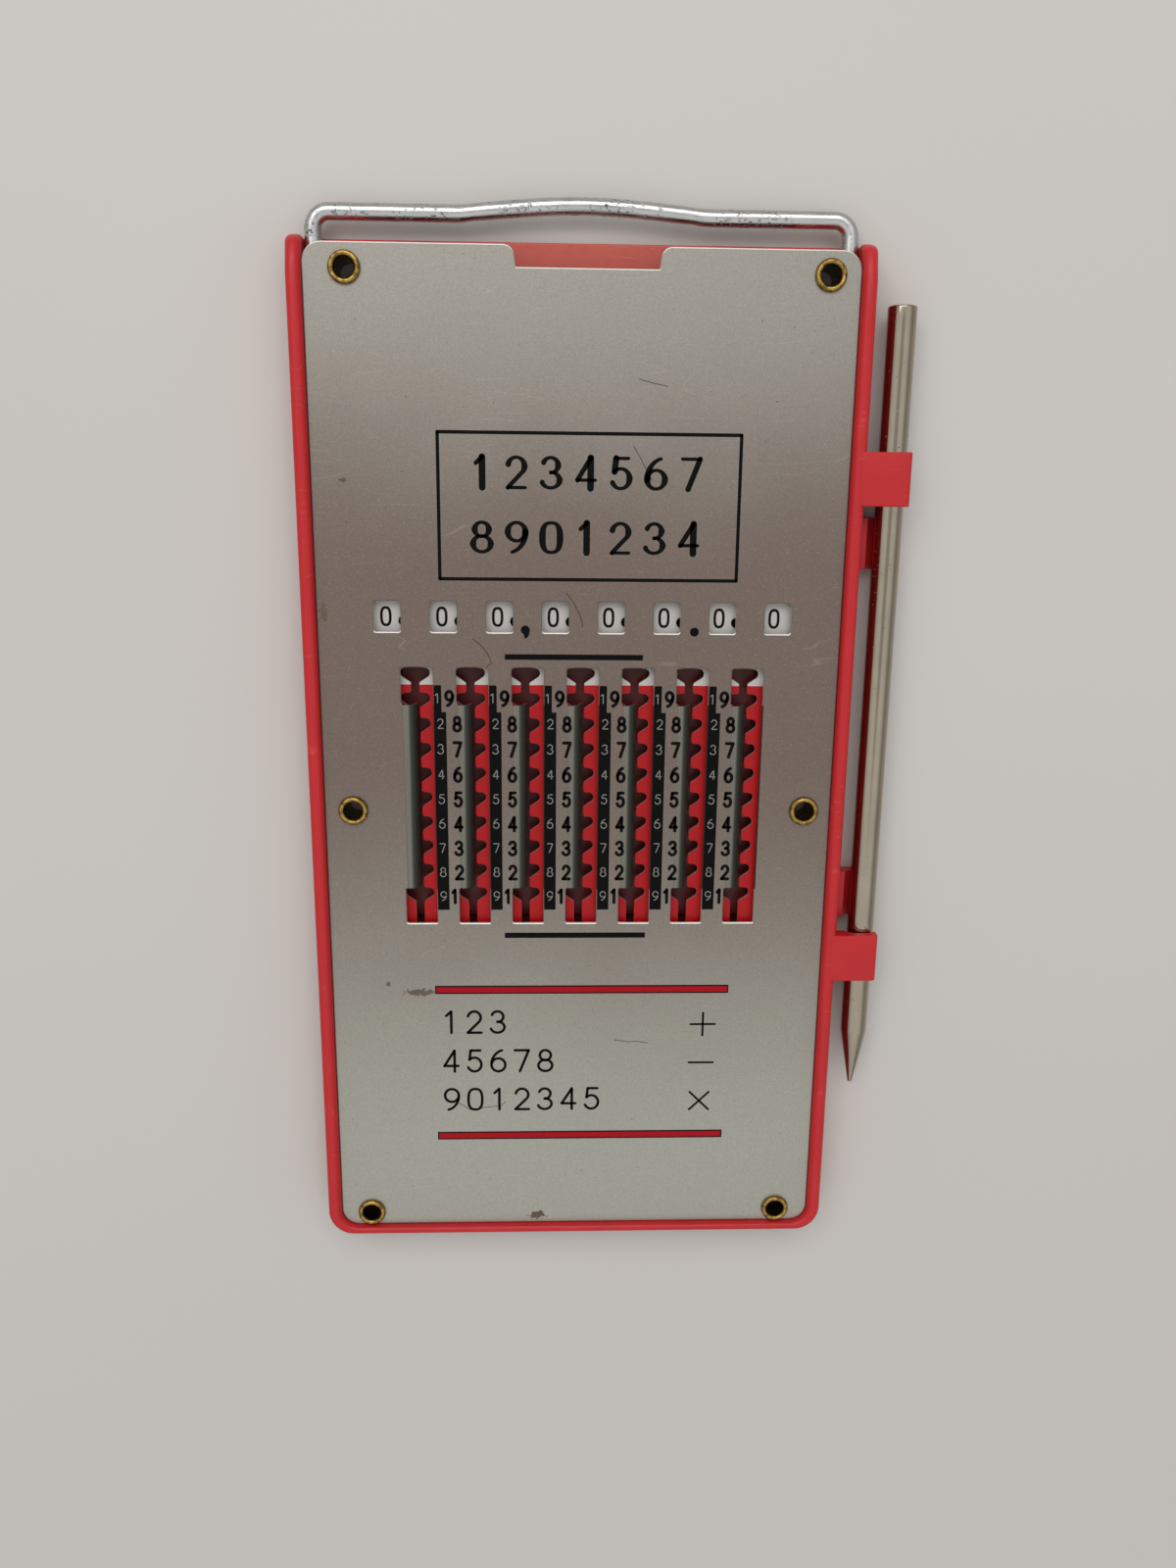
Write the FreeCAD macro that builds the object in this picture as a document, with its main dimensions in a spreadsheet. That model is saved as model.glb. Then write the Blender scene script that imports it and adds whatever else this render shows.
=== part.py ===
import FreeCAD
import Part
import Sketcher
import math
import os
import re

# Pocket slide adder with its stylus, in millimetres. A moulded tray carries eight notched
# sliders under a punched sheet front, a wire bail that pushes the sliders back to zero, six
# eyelets that hold the front on, and four hooks for the stylus. X runs across the columns,
# Y up the columns and Z out of the front. The origin is the middle of the flat back.

COLUMNS = 8
STEPS = 9
SLOTS = COLUMNS - 1
NODES = "parts"
TOUCH = 0.001
NOTCH_TURNS = (45, -45)
WIRE_SIDES = 12
LEFT = 1
RIGHT = -1

# The driving dimensions, one cell each
SIZES = {
    # Grid of the digits
    "notch_pitch": 3.175,
    "strip_pitch": 6.8,
    "digit_rise": 6.91,
    # Sliders
    "slider_gap": 1.04,
    "slider_thickness": 0.5,
    "slider_head": 5.975,
    "slider_tail": 11.565,
    "notch_depth": 1.31,
    "notch_round": 0.63,
    "notch_upper": 0.88,
    "notch_lower": 1.17,
    # Tray
    "floor_thickness": 1.2,
    "rail_width": 1.75,
    "rail_rise": 1.0,
    "rim_width": 1.05,
    "case_corner": 3.3,
    "recess_corner": 2.3,
    "bead_bevel": 0.45,
    "back_bevel": 0.5,
    "head_space": 7.3,
    "stop_wall": 1.2,
    "guide_rib": 0.84,
    "guide_setback": 1.5,
    "land_width": 3.0,
    "track_height": 0.6,
    "boss_inset": 2.7,
    "head_boss": 5.4,
    "head_boss_setback": 1.2,
    "foot_boss": 3.95,
    "rib_break": 3.4,
    # Hooks for the stylus
    "hook_length": 6.3,
    "hook_stagger": 3.8,
    "hook_lip": 1.3,
    "hook_root": 0.7,
    "hook_bite": 0.3,
    "hook_round": 0.6,
    "upper_hooks": 33.4,
    "lower_hooks": -19.65,
    "channel_slack": 0.65,
    # Front sheet
    "plate_thickness": 0.5,
    "plate_corner": 2.3,
    "plate_setback": 1.1,
    "plate_shift": 0.325,
    "thumb_shift": 0.45,
    "thumb_depth": 2.4,
    "thumb_half": 8.2,
    "thumb_draft": 0.3,
    "thumb_shoulder": 1.3,
    "window_width": 3.2,
    "window_height": 3.72,
    "window_shift": 0.11,
    "slot_width": 3.96,
    "slot_margin": 0.85,
    "slot_tail": 3.735,
    "slot_mouth": 4.71,
    "lip_ledge": 0.87,
    "lip_bend": 0.5,
    "lip_overlap": 0.1,
    # Eyelets
    "eyelet_bore": 1.15,
    "barrel_radius": 1.32,
    "flange_radius": 1.85,
    "flange_height": 0.55,
    "eyelet_inner_wall": 0.33,
    "eyelet_outer_wall": 0.13,
    "corner_inset": 4.2,
    "head_eyelet_margin": 0.9,
    "foot_eyelet_margin": 0.05,
    "head_eyelet_shift": 0.6,
    "middle_eyelet_shift": 0.1,
    "foot_eyelet_shift": -0.165,
    "middle_eyelet_level": -3.72,
    # Bail, reset bar and its two rivets
    "wire_diameter": 1.9,
    "bail_rise": 2.5,
    "bend_radius": 1.9,
    "bow_height": 1.0,
    "bow_half": 15.0,
    "kink_radius": 20.0,
    "paddle_width": 2.6,
    "paddle_thickness": 0.9,
    "paddle_reach": 1.0,
    "paddle_corner": 0.8,
    "bar_width": 3.0,
    "bar_thickness": 0.75,
    "bar_end": 1.0,
    "rivet_shank": 0.5,
    "rivet_head": 0.35,
    # Stylus
    "stylus_diameter": 3.4,
    "stylus_gap": 2.0,
    "stylus_drop": 6.73,
    "stylus_length": 99.37,
    "taper_length": 7.6,
    "tip_diameter": 0.6,
    "stylus_chamfer": 0.25,
    # Clearances
    "wire_gap": 0.1,
    "leg_clearance": 0.075,
    "slide_clearance": 0.05,
    "side_clearance": 0.12,
    "end_clearance": 0.1,
    "bail_clearance": 0.125,
    "boss_clearance": 0.3,
    "rib_clearance": 0.225,
    "bar_lift": 0.05,
    "rivet_clearance": 0.15,
    "plate_clearance": 0.05,
    "hole_clearance": 0.03,
    "barrel_setback": 0.05,
    "channel_clearance": 0.1,
}

# Places and widths that follow from the driving dimensions, in the order they build on
# each other
PLACES = {
    # Heights, counted up from the back
    "slider_under": "floor_thickness + wire_gap + wire_diameter",
    "bar_under": "slider_under + bar_lift",
    "bar_face": "bar_under + bar_thickness",
    "plate_under": "bar_face + rivet_head + rivet_clearance",
    "plate_face": "plate_under + plate_thickness",
    "case_height": "plate_face + rail_rise",
    "land_top": "slider_under - slide_clearance",
    "lip_under": "slider_under - lip_overlap",
    "wire_level": "floor_thickness + wire_gap + wire_diameter / 2",
    "paddle_under": "bar_under - paddle_thickness",
    "stylus_level": "case_height / 2",
    # Distances from the middle line
    "slider_half": "(strip_pitch - slider_gap) / 2",
    "outer_column": f"{(COLUMNS - 1) / 2} * strip_pitch",
    "outer_slot": f"{(SLOTS - 1) / 2} * strip_pitch",
    "rib_inner": "outer_column + slider_half + side_clearance",
    "eyelet_column": "rib_inner + eyelet_inner_wall + barrel_radius",
    "rib_outer": "eyelet_column + barrel_radius + eyelet_outer_wall",
    "leg_column": "rib_outer + leg_clearance + wire_diameter / 2",
    "leg_outer": "leg_column + wire_diameter / 2",
    "recess_half": "leg_outer + leg_clearance",
    "case_half": "recess_half + rail_width",
    "plate_half": "recess_half - plate_clearance",
    "corner_column": "plate_half - corner_inset",
    "rivet_column": "leg_outer - paddle_width / 2",
    "bar_half": "rivet_column + bar_end",
    "stylus_radius": "stylus_diameter / 2",
    "stylus_column": "case_half + stylus_gap + stylus_radius",
    "channel_radius": "stylus_radius + channel_clearance",
    # Places along the columns
    "travel_length": f"{STEPS} * notch_pitch",
    "above_row": "digit_rise + travel_length + slider_head + end_clearance + stop_wall + head_space",
    "stowed_room": "bail_clearance + bar_width + boss_clearance + foot_boss",
    "below_row": "2 * travel_length + slider_tail + stowed_room + rim_width",
    "row_zero": "(below_row - above_row) / 2",
    "case_top": "row_zero + above_row",
    "case_bottom": "row_zero - below_row",
    "recess_bottom": "case_bottom + rim_width",
    "slider_top": "row_zero + digit_rise + travel_length + slider_head",
    "slider_bottom": "row_zero - travel_length - slider_tail",
    "stop_face": "slider_top + end_clearance",
    "stop_back": "stop_face + stop_wall",
    "bar_top": "slider_bottom - travel_length - bail_clearance",
    "bar_bottom": "bar_top - bar_width",
    "bar_middle": "bar_top - bar_width / 2",
    "paddle_top": "bar_top + paddle_reach",
    "rib_end": "paddle_top + travel_length + rib_clearance",
    "plate_bottom": "recess_bottom + plate_clearance",
    "plate_top": "case_top - plate_setback",
    "slot_top": "row_zero + slot_margin",
    "slot_bottom": "row_zero - travel_length - slot_tail",
    "lip_top": "slot_top - slot_mouth",
    "lip_bottom": "slot_bottom + slot_mouth",
    "window_middle": "row_zero + digit_rise + window_shift",
    "head_eyelet_level": "plate_top - head_eyelet_margin - flange_radius",
    "foot_eyelet_level": "plate_bottom + foot_eyelet_margin + flange_radius",
    "bail_level": "case_top + bail_rise",
    "stylus_top": "case_top - stylus_drop",
    "stylus_tip": "stylus_top - stylus_length",
    # Radii and small runs
    "rim_bevel": "min(bead_bevel; 0.47 * rim_width; 0.47 * rail_width)",
    "lip_outer_bend": "lip_bend + plate_thickness",
    "bow_sum": "(bow_half * bow_half + bow_height * bow_height) / (2 * bow_height)",
    "bow_radius": "bow_sum - kink_radius",
    "kink_run": "kink_radius * bow_half / bow_sum",
    "kink_lift": "kink_radius * bow_height / bow_sum",
    "hole_radius": "barrel_radius + hole_clearance",
}

# The three rows of eyelets: name, level, half of the spacing and sideways shift
EYELET_ROWS = (
    ("top", "head_eyelet_level", "corner_column", "head_eyelet_shift"),
    ("middle", "middle_eyelet_level", "eyelet_column", "middle_eyelet_shift"),
    ("bottom", "foot_eyelet_level", "corner_column", "foot_eyelet_shift"),
)

NAME = re.compile(r"[a-z]+(?:_[a-z]+)+")

doc = FreeCAD.newDocument("SlideAdder")


def fill_sheets():
    """Write the driving dimensions and the places that follow from them."""
    sizes = doc.addObject("Spreadsheet::Sheet", "Sizes")
    for row, (alias, number) in enumerate(SIZES.items(), start=1):
        sizes.set(f"A{row}", alias.replace("_", " "))
        sizes.set(f"B{row}", str(number))
        sizes.setAlias(f"B{row}", alias)
    places = doc.addObject("Spreadsheet::Sheet", "Places")
    for row, (alias, text) in enumerate(PLACES.items(), start=1):
        places.set(f"A{row}", alias.replace("_", " "))
        places.set(f"B{row}", "=" + NAME.sub(own_name, text))
        places.setAlias(f"B{row}", alias)
    doc.recompute()
    return places


def own_name(found):
    """Name a cell as the sheet of places sees it."""
    alias = found.group()
    return f"Sizes.{alias}" if alias in SIZES else alias


def full_name(found):
    """Name a cell with its sheet, as every other object sees it."""
    alias = found.group()
    return f"Sizes.{alias}" if alias in SIZES else f"Places.{alias}"


def bind(item, path, text):
    """Tie one property of an object to a formula."""
    item.setExpression(path, NAME.sub(full_name, text))


def value(text):
    """Work out a formula as it stands now, for the first position of a drawn point."""
    return float(places.evalExpression(NAME.sub(full_name, text)))


def new_body(label):
    """Start the body of one sub-part; its label becomes the name of its file."""
    body = doc.addObject("PartDesign::Body", label)
    body.Label = label
    return body


def origin_feature(body, role):
    """Find a plane or an axis of the body's own origin."""
    for feature in body.Origin.OriginFeatures:
        if feature.Role == role:
            return feature
    raise RuntimeError(f"{body.Label} has no {role}")


def new_sketch(body, name, plane="XY_Plane", offset="0"):
    """Lay a sketch on an origin plane, moved along the plane's normal."""
    sketch = body.newObject("Sketcher::SketchObject", name)
    sketch.AttachmentSupport = [(origin_feature(body, plane), "")]
    sketch.MapMode = "FlatFace"
    bind(sketch, "AttachmentOffset.Base.z", offset)
    return sketch


def across(offset):
    """Turn a place along Y into the offset of a sketch on the XZ plane, which faces -Y."""
    return f"-({offset})"


def arc_between(start, end, radius, turn):
    """Make the short arc of a radius that leaves start and turns left or right to end."""
    chord = end - start
    half = chord.Length / 2
    rise = math.sqrt(max(radius * radius - half * half, 0.0))
    normal = FreeCAD.Vector(-chord.y, chord.x, 0).normalize()
    centre = start + chord * 0.5 + normal * rise * turn
    first, last = (start, end) if turn == LEFT else (end, start)
    angles = [math.atan2(point.y - centre.y, point.x - centre.x) for point in (first, last)]
    if angles[1] < angles[0]:
        angles[1] += 2 * math.pi
    circle = Part.Circle(centre, FreeCAD.Vector(0, 0, 1), radius)
    return Part.ArcOfCircle(circle, *angles), (1, 2) if turn == LEFT else (2, 1)


def draw(sketch, steps, closed=True):
    """Draw one outline and tie every corner to its formula.

    A step is a corner (x, y). A step (x, y, radius, turn) ends an arc that turns LEFT or
    RIGHT on its way there.
    """
    points = [FreeCAD.Vector(value(step[0]), value(step[1]), 0) for step in steps]
    order = range(len(steps)) if closed else range(1, len(steps))
    shapes = []
    ends = []
    for place in order:
        start, end = points[place - 1], points[place]
        step = steps[place]
        if len(step) == 2:
            shapes.append(Part.LineSegment(start, end))
            ends.append((1, 2))
        else:
            arc, arc_ends = arc_between(start, end, value(step[2]), step[3])
            shapes.append(arc)
            ends.append(arc_ends)
    first = sketch.GeometryCount
    sketch.addGeometry(shapes, False)
    rules = []
    formulas = []
    for count, place in enumerate(order):
        stretch = first + count
        finish = ends[count][1]
        for kind, text, number in (
            ("DistanceX", steps[place][0], points[place].x),
            ("DistanceY", steps[place][1], points[place].y),
        ):
            rules.append(Sketcher.Constraint(kind, stretch, finish, number))
            formulas.append(text)
        if len(steps[place]) > 2:
            rules.append(Sketcher.Constraint("Radius", stretch, value(steps[place][2])))
            formulas.append(steps[place][2])
        if closed or count > 0:
            before = (count - 1) % len(shapes)
            rules.append(
                Sketcher.Constraint(
                    "Coincident", first + before, ends[before][1], stretch, ends[count][0]
                )
            )
            formulas.append(None)
    if not closed:
        for kind, text, number in (
            ("DistanceX", steps[0][0], points[0].x),
            ("DistanceY", steps[0][1], points[0].y),
        ):
            rules.append(Sketcher.Constraint(kind, first, ends[0][0], number))
            formulas.append(text)
    tie(sketch, rules, formulas)


def draw_circle(sketch, x, y, radius):
    """Draw a circle tied to formulas."""
    centre = FreeCAD.Vector(value(x), value(y), 0)
    number = sketch.addGeometry(Part.Circle(centre, FreeCAD.Vector(0, 0, 1), value(radius)), False)
    rules = [
        Sketcher.Constraint("DistanceX", number, 3, centre.x),
        Sketcher.Constraint("DistanceY", number, 3, centre.y),
        Sketcher.Constraint("Radius", number, value(radius)),
    ]
    tie(sketch, rules, [x, y, radius])


def tie(sketch, rules, formulas):
    """Add constraints and bind each one that has a formula."""
    numbers = sketch.addConstraint(rules)
    for number, text in zip(numbers, formulas):
        if text is not None:
            bind(sketch, f"Constraints[{number}]", text)


def draw_box(sketch, left, right, low, high):
    """Draw a rectangle from four formulas."""
    draw(sketch, [(right, low), (right, high), (left, high), (left, low)])


def pad(body, name, sketch, length):
    """Raise a sketch along its normal."""
    feature = body.newObject("PartDesign::Pad", name)
    feature.Profile = sketch
    bind(feature, "Length", length)
    body.Tip = feature
    return feature


def pocket(body, name, sketch, depth, along_normal=False):
    """Sink a sketch into the solid, and make sure that it removed material."""
    doc.recompute()
    before = body.Shape.Volume
    feature = body.newObject("PartDesign::Pocket", name)
    feature.Profile = sketch
    bind(feature, "Length", depth)
    feature.Reversed = along_normal
    body.Tip = feature
    doc.recompute()
    if not body.Shape.Volume < before - TOUCH:
        raise RuntimeError(f"{body.Label}: {name} cuts nothing")
    return feature


def revolve(body, name, sketch, axis):
    """Turn a half section once round an axis of the body."""
    feature = body.newObject("PartDesign::Revolution", name)
    feature.Profile = sketch
    feature.ReferenceAxis = (origin_feature(body, axis), [""])
    feature.Angle = 360
    body.Tip = feature
    return feature


def repeat(body, name, features, axis, spacing, count):
    """Repeat features in a row."""
    feature = body.newObject("PartDesign::LinearPattern", name)
    feature.Originals = features
    feature.Direction = (origin_feature(body, axis), [""])
    feature.Mode = "Spacing"
    bind(feature, "Offset", spacing)
    feature.Occurrences = count
    body.Tip = feature
    return feature


def mirror(body, name, features, plane="YZ_Plane"):
    """Mirror features across a plane of the body."""
    feature = body.newObject("PartDesign::Mirrored", name)
    feature.Originals = features
    feature.MirrorPlane = (origin_feature(body, plane), [""])
    body.Tip = feature
    return feature


def fillet(body, name, base, edges, radius):
    """Round the named edges of a feature."""
    feature = body.newObject("PartDesign::Fillet", name)
    feature.Base = (base, edges)
    bind(feature, "Radius", radius)
    body.Tip = feature
    doc.recompute()
    return feature


def chamfer(body, name, base, edges, size):
    """Bevel the named edges of a feature."""
    feature = body.newObject("PartDesign::Chamfer", name)
    feature.Base = (base, edges)
    bind(feature, "Size", size)
    body.Tip = feature
    doc.recompute()
    return feature


def edges_where(shape, rule):
    """Name the edges whose bounding box meets a rule."""
    numbered = enumerate(shape.Edges, start=1)
    return [f"Edge{number}" for number, edge in numbered if rule(edge.BoundBox)]


def level_edges(shape, height):
    """Name the edges that lie flat at one height."""
    def flat(box):
        return abs(box.ZMin - height) < TOUCH and abs(box.ZMax - height) < TOUCH
    return edges_where(shape, flat)


def eyelet_places():
    """Yield name and centre of each of the six eyelets."""
    for row, level, half, shift in EYELET_ROWS:
        yield f"eyelet_{row}_left", f"{shift} - {half}", level
        yield f"eyelet_{row}_right", f"{shift} + {half}", level


def block(body, name, left, right, low, high, under, top):
    """Raise a rectangular rib, land or boss between two heights."""
    sketch = new_sketch(body, f"{name}_outline", offset=under)
    draw_box(sketch, left, right, low, high)
    return pad(body, name, sketch, f"{top} - ({under})")


def bore_eyelets(body, name, offset, radius, depth, along_normal=False):
    """Bore six round holes on the eyelets' centres."""
    sketch = new_sketch(body, f"{name}_outline", offset=offset)
    for _, x, y in eyelet_places():
        draw_circle(sketch, x, y, radius)
    return pocket(body, name, sketch, depth, along_normal)


def tray_foot():
    """Outside of the tray from its upper left end round the foot to its upper right end."""
    return [
        ("-case_half", "case_bottom + case_corner"),
        ("case_corner - case_half", "case_bottom", "case_corner", LEFT),
        ("case_half - case_corner", "case_bottom"),
        ("case_half", "case_bottom + case_corner", "case_corner", LEFT),
    ]


def make_shell(body):
    """Raise the floor and the rail round three sides of it, and round their edges."""
    bead = "rail_width / 2"
    shoulder = f"case_top - {bead}"

    outline = new_sketch(body, "floor_outline")
    draw(outline, tray_foot() + [
        ("case_half", shoulder),
        (f"case_half - {bead}", "case_top", bead, LEFT),
        (f"{bead} - case_half", "case_top"),
        ("-case_half", shoulder, bead, LEFT),
    ])
    pad(body, "floor", outline, "floor_thickness")

    rail = new_sketch(body, "rail_outline")
    draw(rail, tray_foot() + [
        ("case_half", shoulder),
        (f"case_half - {bead}", "case_top", bead, LEFT),
        ("recess_half", shoulder, bead, LEFT),
        ("recess_half", "recess_bottom + recess_corner"),
        ("recess_half - recess_corner", "recess_bottom", "recess_corner", RIGHT),
        ("recess_corner - recess_half", "recess_bottom"),
        ("-recess_half", "recess_bottom + recess_corner", "recess_corner", RIGHT),
        ("-recess_half", shoulder),
        (f"{bead} - case_half", "case_top", bead, LEFT),
        ("-case_half", shoulder, bead, LEFT),
    ])
    walls = pad(body, "rail", rail, "case_height")
    doc.recompute()
    rim = level_edges(walls.Shape, value("case_height"))
    beaded = chamfer(body, "rail_bead", walls, rim, "rim_bevel")
    back = level_edges(beaded.Shape, 0.0)
    chamfer(body, "back_edge", beaded, back, "back_bevel")


def make_guides(body):
    """Raise the ribs, lands and bosses inside the tray."""
    ribs = new_sketch(body, "side_rib_outline", offset="floor_thickness")
    gap_low = "middle_eyelet_level - rib_break / 2"
    gap_high = "middle_eyelet_level + rib_break / 2"
    rib_top = "case_top - head_boss_setback"
    draw_box(ribs, "rib_inner", "rib_outer", "rib_end", gap_low)
    draw_box(ribs, "rib_inner", "rib_outer", gap_high, rib_top)
    rib = pad(body, "side_rib", ribs, "plate_under - floor_thickness")
    mirror(body, "side_rib_left", [rib])

    boss_side = "corner_column - boss_inset"
    bosses = new_sketch(body, "boss_outline", offset="floor_thickness")
    draw_box(bosses, boss_side, "rib_outer", f"{rib_top} - head_boss", rib_top)
    draw_box(bosses, boss_side, "rib_outer", "recess_bottom", "recess_bottom + foot_boss")
    boss = pad(body, "boss", bosses, "plate_under - floor_thickness")
    mirror(body, "boss_left", [boss])

    block(body, "slider_stop", "-rib_outer", "rib_outer", "stop_face", "stop_back",
          "floor_thickness", "plate_under")

    land = block(body, "land", "-outer_column - land_width / 2", "-outer_column + land_width / 2",
                 "bar_bottom", "stop_back", "floor_thickness", "land_top")
    repeat(body, "land_row", [land], "X_Axis", "strip_pitch", COLUMNS)

    groove_half = "(strip_pitch - land_width) / 2"
    track = block(body, "track", f"-outer_slot - {groove_half}", f"-outer_slot + {groove_half}",
                  "slot_bottom", "stop_back", "floor_thickness", "floor_thickness + track_height")
    repeat(body, "track_row", [track], "X_Axis", "strip_pitch", SLOTS)

    guides = new_sketch(body, "guide_outline", offset="floor_thickness")
    sides = ("-outer_slot - guide_rib / 2", "-outer_slot + guide_rib / 2")
    draw_box(guides, *sides, "slot_top + guide_setback", "stop_back")
    draw_box(guides, *sides, "rib_end", "slot_bottom - guide_setback")
    guide = pad(body, "guide", guides, "plate_under - floor_thickness")
    repeat(body, "guide_row", [guide], "X_Axis", "strip_pitch", SLOTS)


def make_hooks(body):
    """Raise the staggered hooks, two over the front of the stylus and two behind it."""
    left = "case_half - hook_bite"
    middle = "stylus_column - channel_slack"
    outer = "stylus_column + stylus_radius"
    for name, centre, front in (
        ("upper_front_hook", "upper_hooks + hook_stagger", True),
        ("upper_back_hook", "upper_hooks - hook_stagger", False),
        ("lower_back_hook", "lower_hooks + hook_stagger", False),
        ("lower_front_hook", "lower_hooks - hook_stagger", True),
    ):
        side = "+" if front else "-"
        root = f"stylus_level {side} hook_root"
        lip = f"stylus_level {side} hook_lip"
        skin = "case_height" if front else "0"
        start = across(f"{centre} + hook_length / 2")
        section = new_sketch(body, f"{name}_section", "XZ_Plane", start)
        draw(section, [
            (left, root), (middle, root), (middle, lip), (outer, lip), (outer, skin), (left, skin),
        ])
        hooks = pad(body, name, section, "hook_length")
    doc.recompute()
    hook_edge = value(outer)

    def outer_edge(box):
        upright = abs(box.XMin - hook_edge) < TOUCH and abs(box.XMax - hook_edge) < TOUCH
        low = box.ZMax < TOUCH
        high = box.ZMin > value("case_height") - TOUCH
        return upright and (low or high)

    fillet(body, "hook_corner", hooks, edges_where(hooks.Shape, outer_edge), "hook_round")

    reach = "hook_stagger + hook_length / 2"
    channel = new_sketch(body, "channel_section", "XZ_Plane", across(f"upper_hooks + {reach}"))
    low, high = "stylus_level - channel_radius", "stylus_level + channel_radius"
    draw(channel, [
        ("stylus_column", low),
        ("stylus_column + channel_radius", "stylus_level", "channel_radius", LEFT),
        ("stylus_column", high, "channel_radius", LEFT),
        (middle, high),
        (f"{middle} - channel_radius", "stylus_level", "channel_radius", LEFT),
        (middle, low, "channel_radius", LEFT),
    ])
    pocket(body, "channel", channel, f"upper_hooks - lower_hooks + 2 * ({reach})", True)


def make_case():
    """Moulded tray: floor, rails, guides, bosses bored for the eyelets, and stylus hooks."""
    body = new_body("case")
    make_shell(body)
    make_guides(body)
    make_hooks(body)
    bore_eyelets(body, "eyelet_bore", "0", "hole_radius", "case_height", True)
    return body


def make_plate():
    """Front sheet: thumb notch, windows, slots with their bent lips, and eyelet holes."""
    body = new_body("front_plate")
    side, top, low = "plate_half", "plate_top", "plate_bottom"
    corner, shoulder = "plate_corner", "thumb_shoulder"
    mouth = "thumb_half + thumb_draft"
    floor = "plate_top - thumb_depth"

    outline = new_sketch(body, "sheet_outline", offset="plate_under")
    draw(outline, [
        (f"{side} - {corner}", low),
        (side, f"{low} + {corner}", corner, LEFT),
        (side, f"{top} - {corner}"),
        (f"{side} - {corner}", top, corner, LEFT),
        (f"thumb_shift + {mouth} + {shoulder}", top),
        (f"thumb_shift + {mouth}", f"{top} - {shoulder}", shoulder, LEFT),
        ("thumb_shift + thumb_half", floor),
        ("thumb_shift - thumb_half", floor),
        (f"thumb_shift - {mouth}", f"{top} - {shoulder}"),
        (f"thumb_shift - {mouth} - {shoulder}", top, shoulder, LEFT),
        (f"-{side} + {corner}", top),
        (f"-{side}", f"{top} - {corner}", corner, LEFT),
        (f"-{side}", f"{low} + {corner}"),
        (f"-{side} + {corner}", low, corner, LEFT),
    ])
    pad(body, "sheet", outline, "plate_thickness")

    frame = new_sketch(body, "window_outline", offset="plate_face")
    centre = "plate_shift - outer_column"
    draw_box(frame, f"{centre} - window_width / 2", f"{centre} + window_width / 2",
             "window_middle - window_height / 2", "window_middle + window_height / 2")
    window = pocket(body, "window", frame, "plate_thickness")
    repeat(body, "window_row", [window], "X_Axis", "strip_pitch", COLUMNS)

    left = "plate_shift - outer_slot - slot_width / 2"
    ledge = f"{left} + lip_ledge"
    opening = new_sketch(body, "slot_outline", offset="plate_face")
    draw(opening, [
        (f"{left} + slot_width", "slot_bottom"),
        (f"{left} + slot_width", "slot_top"),
        (left, "slot_top"),
        (left, "lip_top + lip_ledge"),
        (ledge, "lip_top"),
        (ledge, "lip_bottom"),
        (left, "lip_bottom - lip_ledge"),
        (left, "slot_bottom"),
    ])
    slot = pocket(body, "slot", opening, "plate_thickness")
    repeat(body, "slot_row", [slot], "X_Axis", "strip_pitch", SLOTS)

    section = new_sketch(body, "lip_section", "XZ_Plane", across("lip_top"))
    draw(section, [
        (ledge, "plate_face"),
        (f"{ledge} + lip_outer_bend", "plate_under - lip_bend", "lip_outer_bend", RIGHT),
        (f"{ledge} + lip_outer_bend", "lip_under"),
        (f"{ledge} + lip_bend", "lip_under"),
        (f"{ledge} + lip_bend", "plate_under - lip_bend"),
        (ledge, "plate_under"),
    ])
    lip = pad(body, "lip", section, "lip_top - lip_bottom")
    repeat(body, "lip_row", [lip], "X_Axis", "strip_pitch", SLOTS)

    bore_eyelets(body, "eyelet_hole", "plate_face", "hole_radius", "plate_thickness")
    return body


def notch_outline(sketch, side):
    """Draw the lowest stylus notch on one edge: a narrow end and a longer lower flank."""
    edge = "slider_half"
    row = "row_zero - travel_length"
    over = f"{edge} + side_clearance"
    bottom = f"{edge} - notch_depth + notch_round"
    corners = [(over, f"{row} + notch_upper"), (edge, f"{row} + notch_upper")]
    for degrees in NOTCH_TURNS:
        angle = math.radians(degrees)
        inward = f"{bottom} - {math.cos(angle):.4f} * notch_round"
        corners.append((inward, f"{row} + {math.sin(angle):.4f} * notch_round"))
    corners += [(edge, f"{row} - notch_lower"), (over, f"{row} - notch_lower")]
    draw(sketch, [(f"{side} * ({x})", y) for x, y in corners])


def make_slider(number):
    """Notched strip of one column; the outermost edges of the set have no notches."""
    body = new_body(f"slider_{number}")
    outline = new_sketch(body, f"strip_outline_{number}", offset="slider_under")
    draw_box(outline, "-slider_half", "slider_half", "slider_bottom", "slider_top")
    pad(body, f"strip_{number}", outline, "slider_thickness")

    notches = new_sketch(body, f"notch_outline_{number}", offset="slider_under + slider_thickness")
    if number > 1:
        notch_outline(notches, -1)
    if number < COLUMNS:
        notch_outline(notches, 1)
    notch = pocket(body, f"notch_{number}", notches, "slider_thickness")
    repeat(body, f"notch_row_{number}", [notch], "Y_Axis", "notch_pitch", 2 * STEPS + 1)
    bind(body, "Placement.Base.x", f"{number - 1} * strip_pitch - outer_column")
    return body


def make_eyelet(name, x, y):
    """Brass eyelet: a barrel with a domed flange in front."""
    body = new_body(name)
    section = new_sketch(body, f"{name}_section", "XZ_Plane")
    draw(section, [
        ("eyelet_bore", "barrel_setback"),
        ("barrel_radius", "barrel_setback"),
        ("barrel_radius", "plate_face"),
        ("flange_radius", "plate_face"),
        ("eyelet_bore", "plate_face + flange_height"),
    ])
    revolve(body, f"{name}_barrel", section, "Z_Axis")
    bind(body, "Placement.Base.x", x)
    bind(body, "Placement.Base.y", y)
    return body


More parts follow.
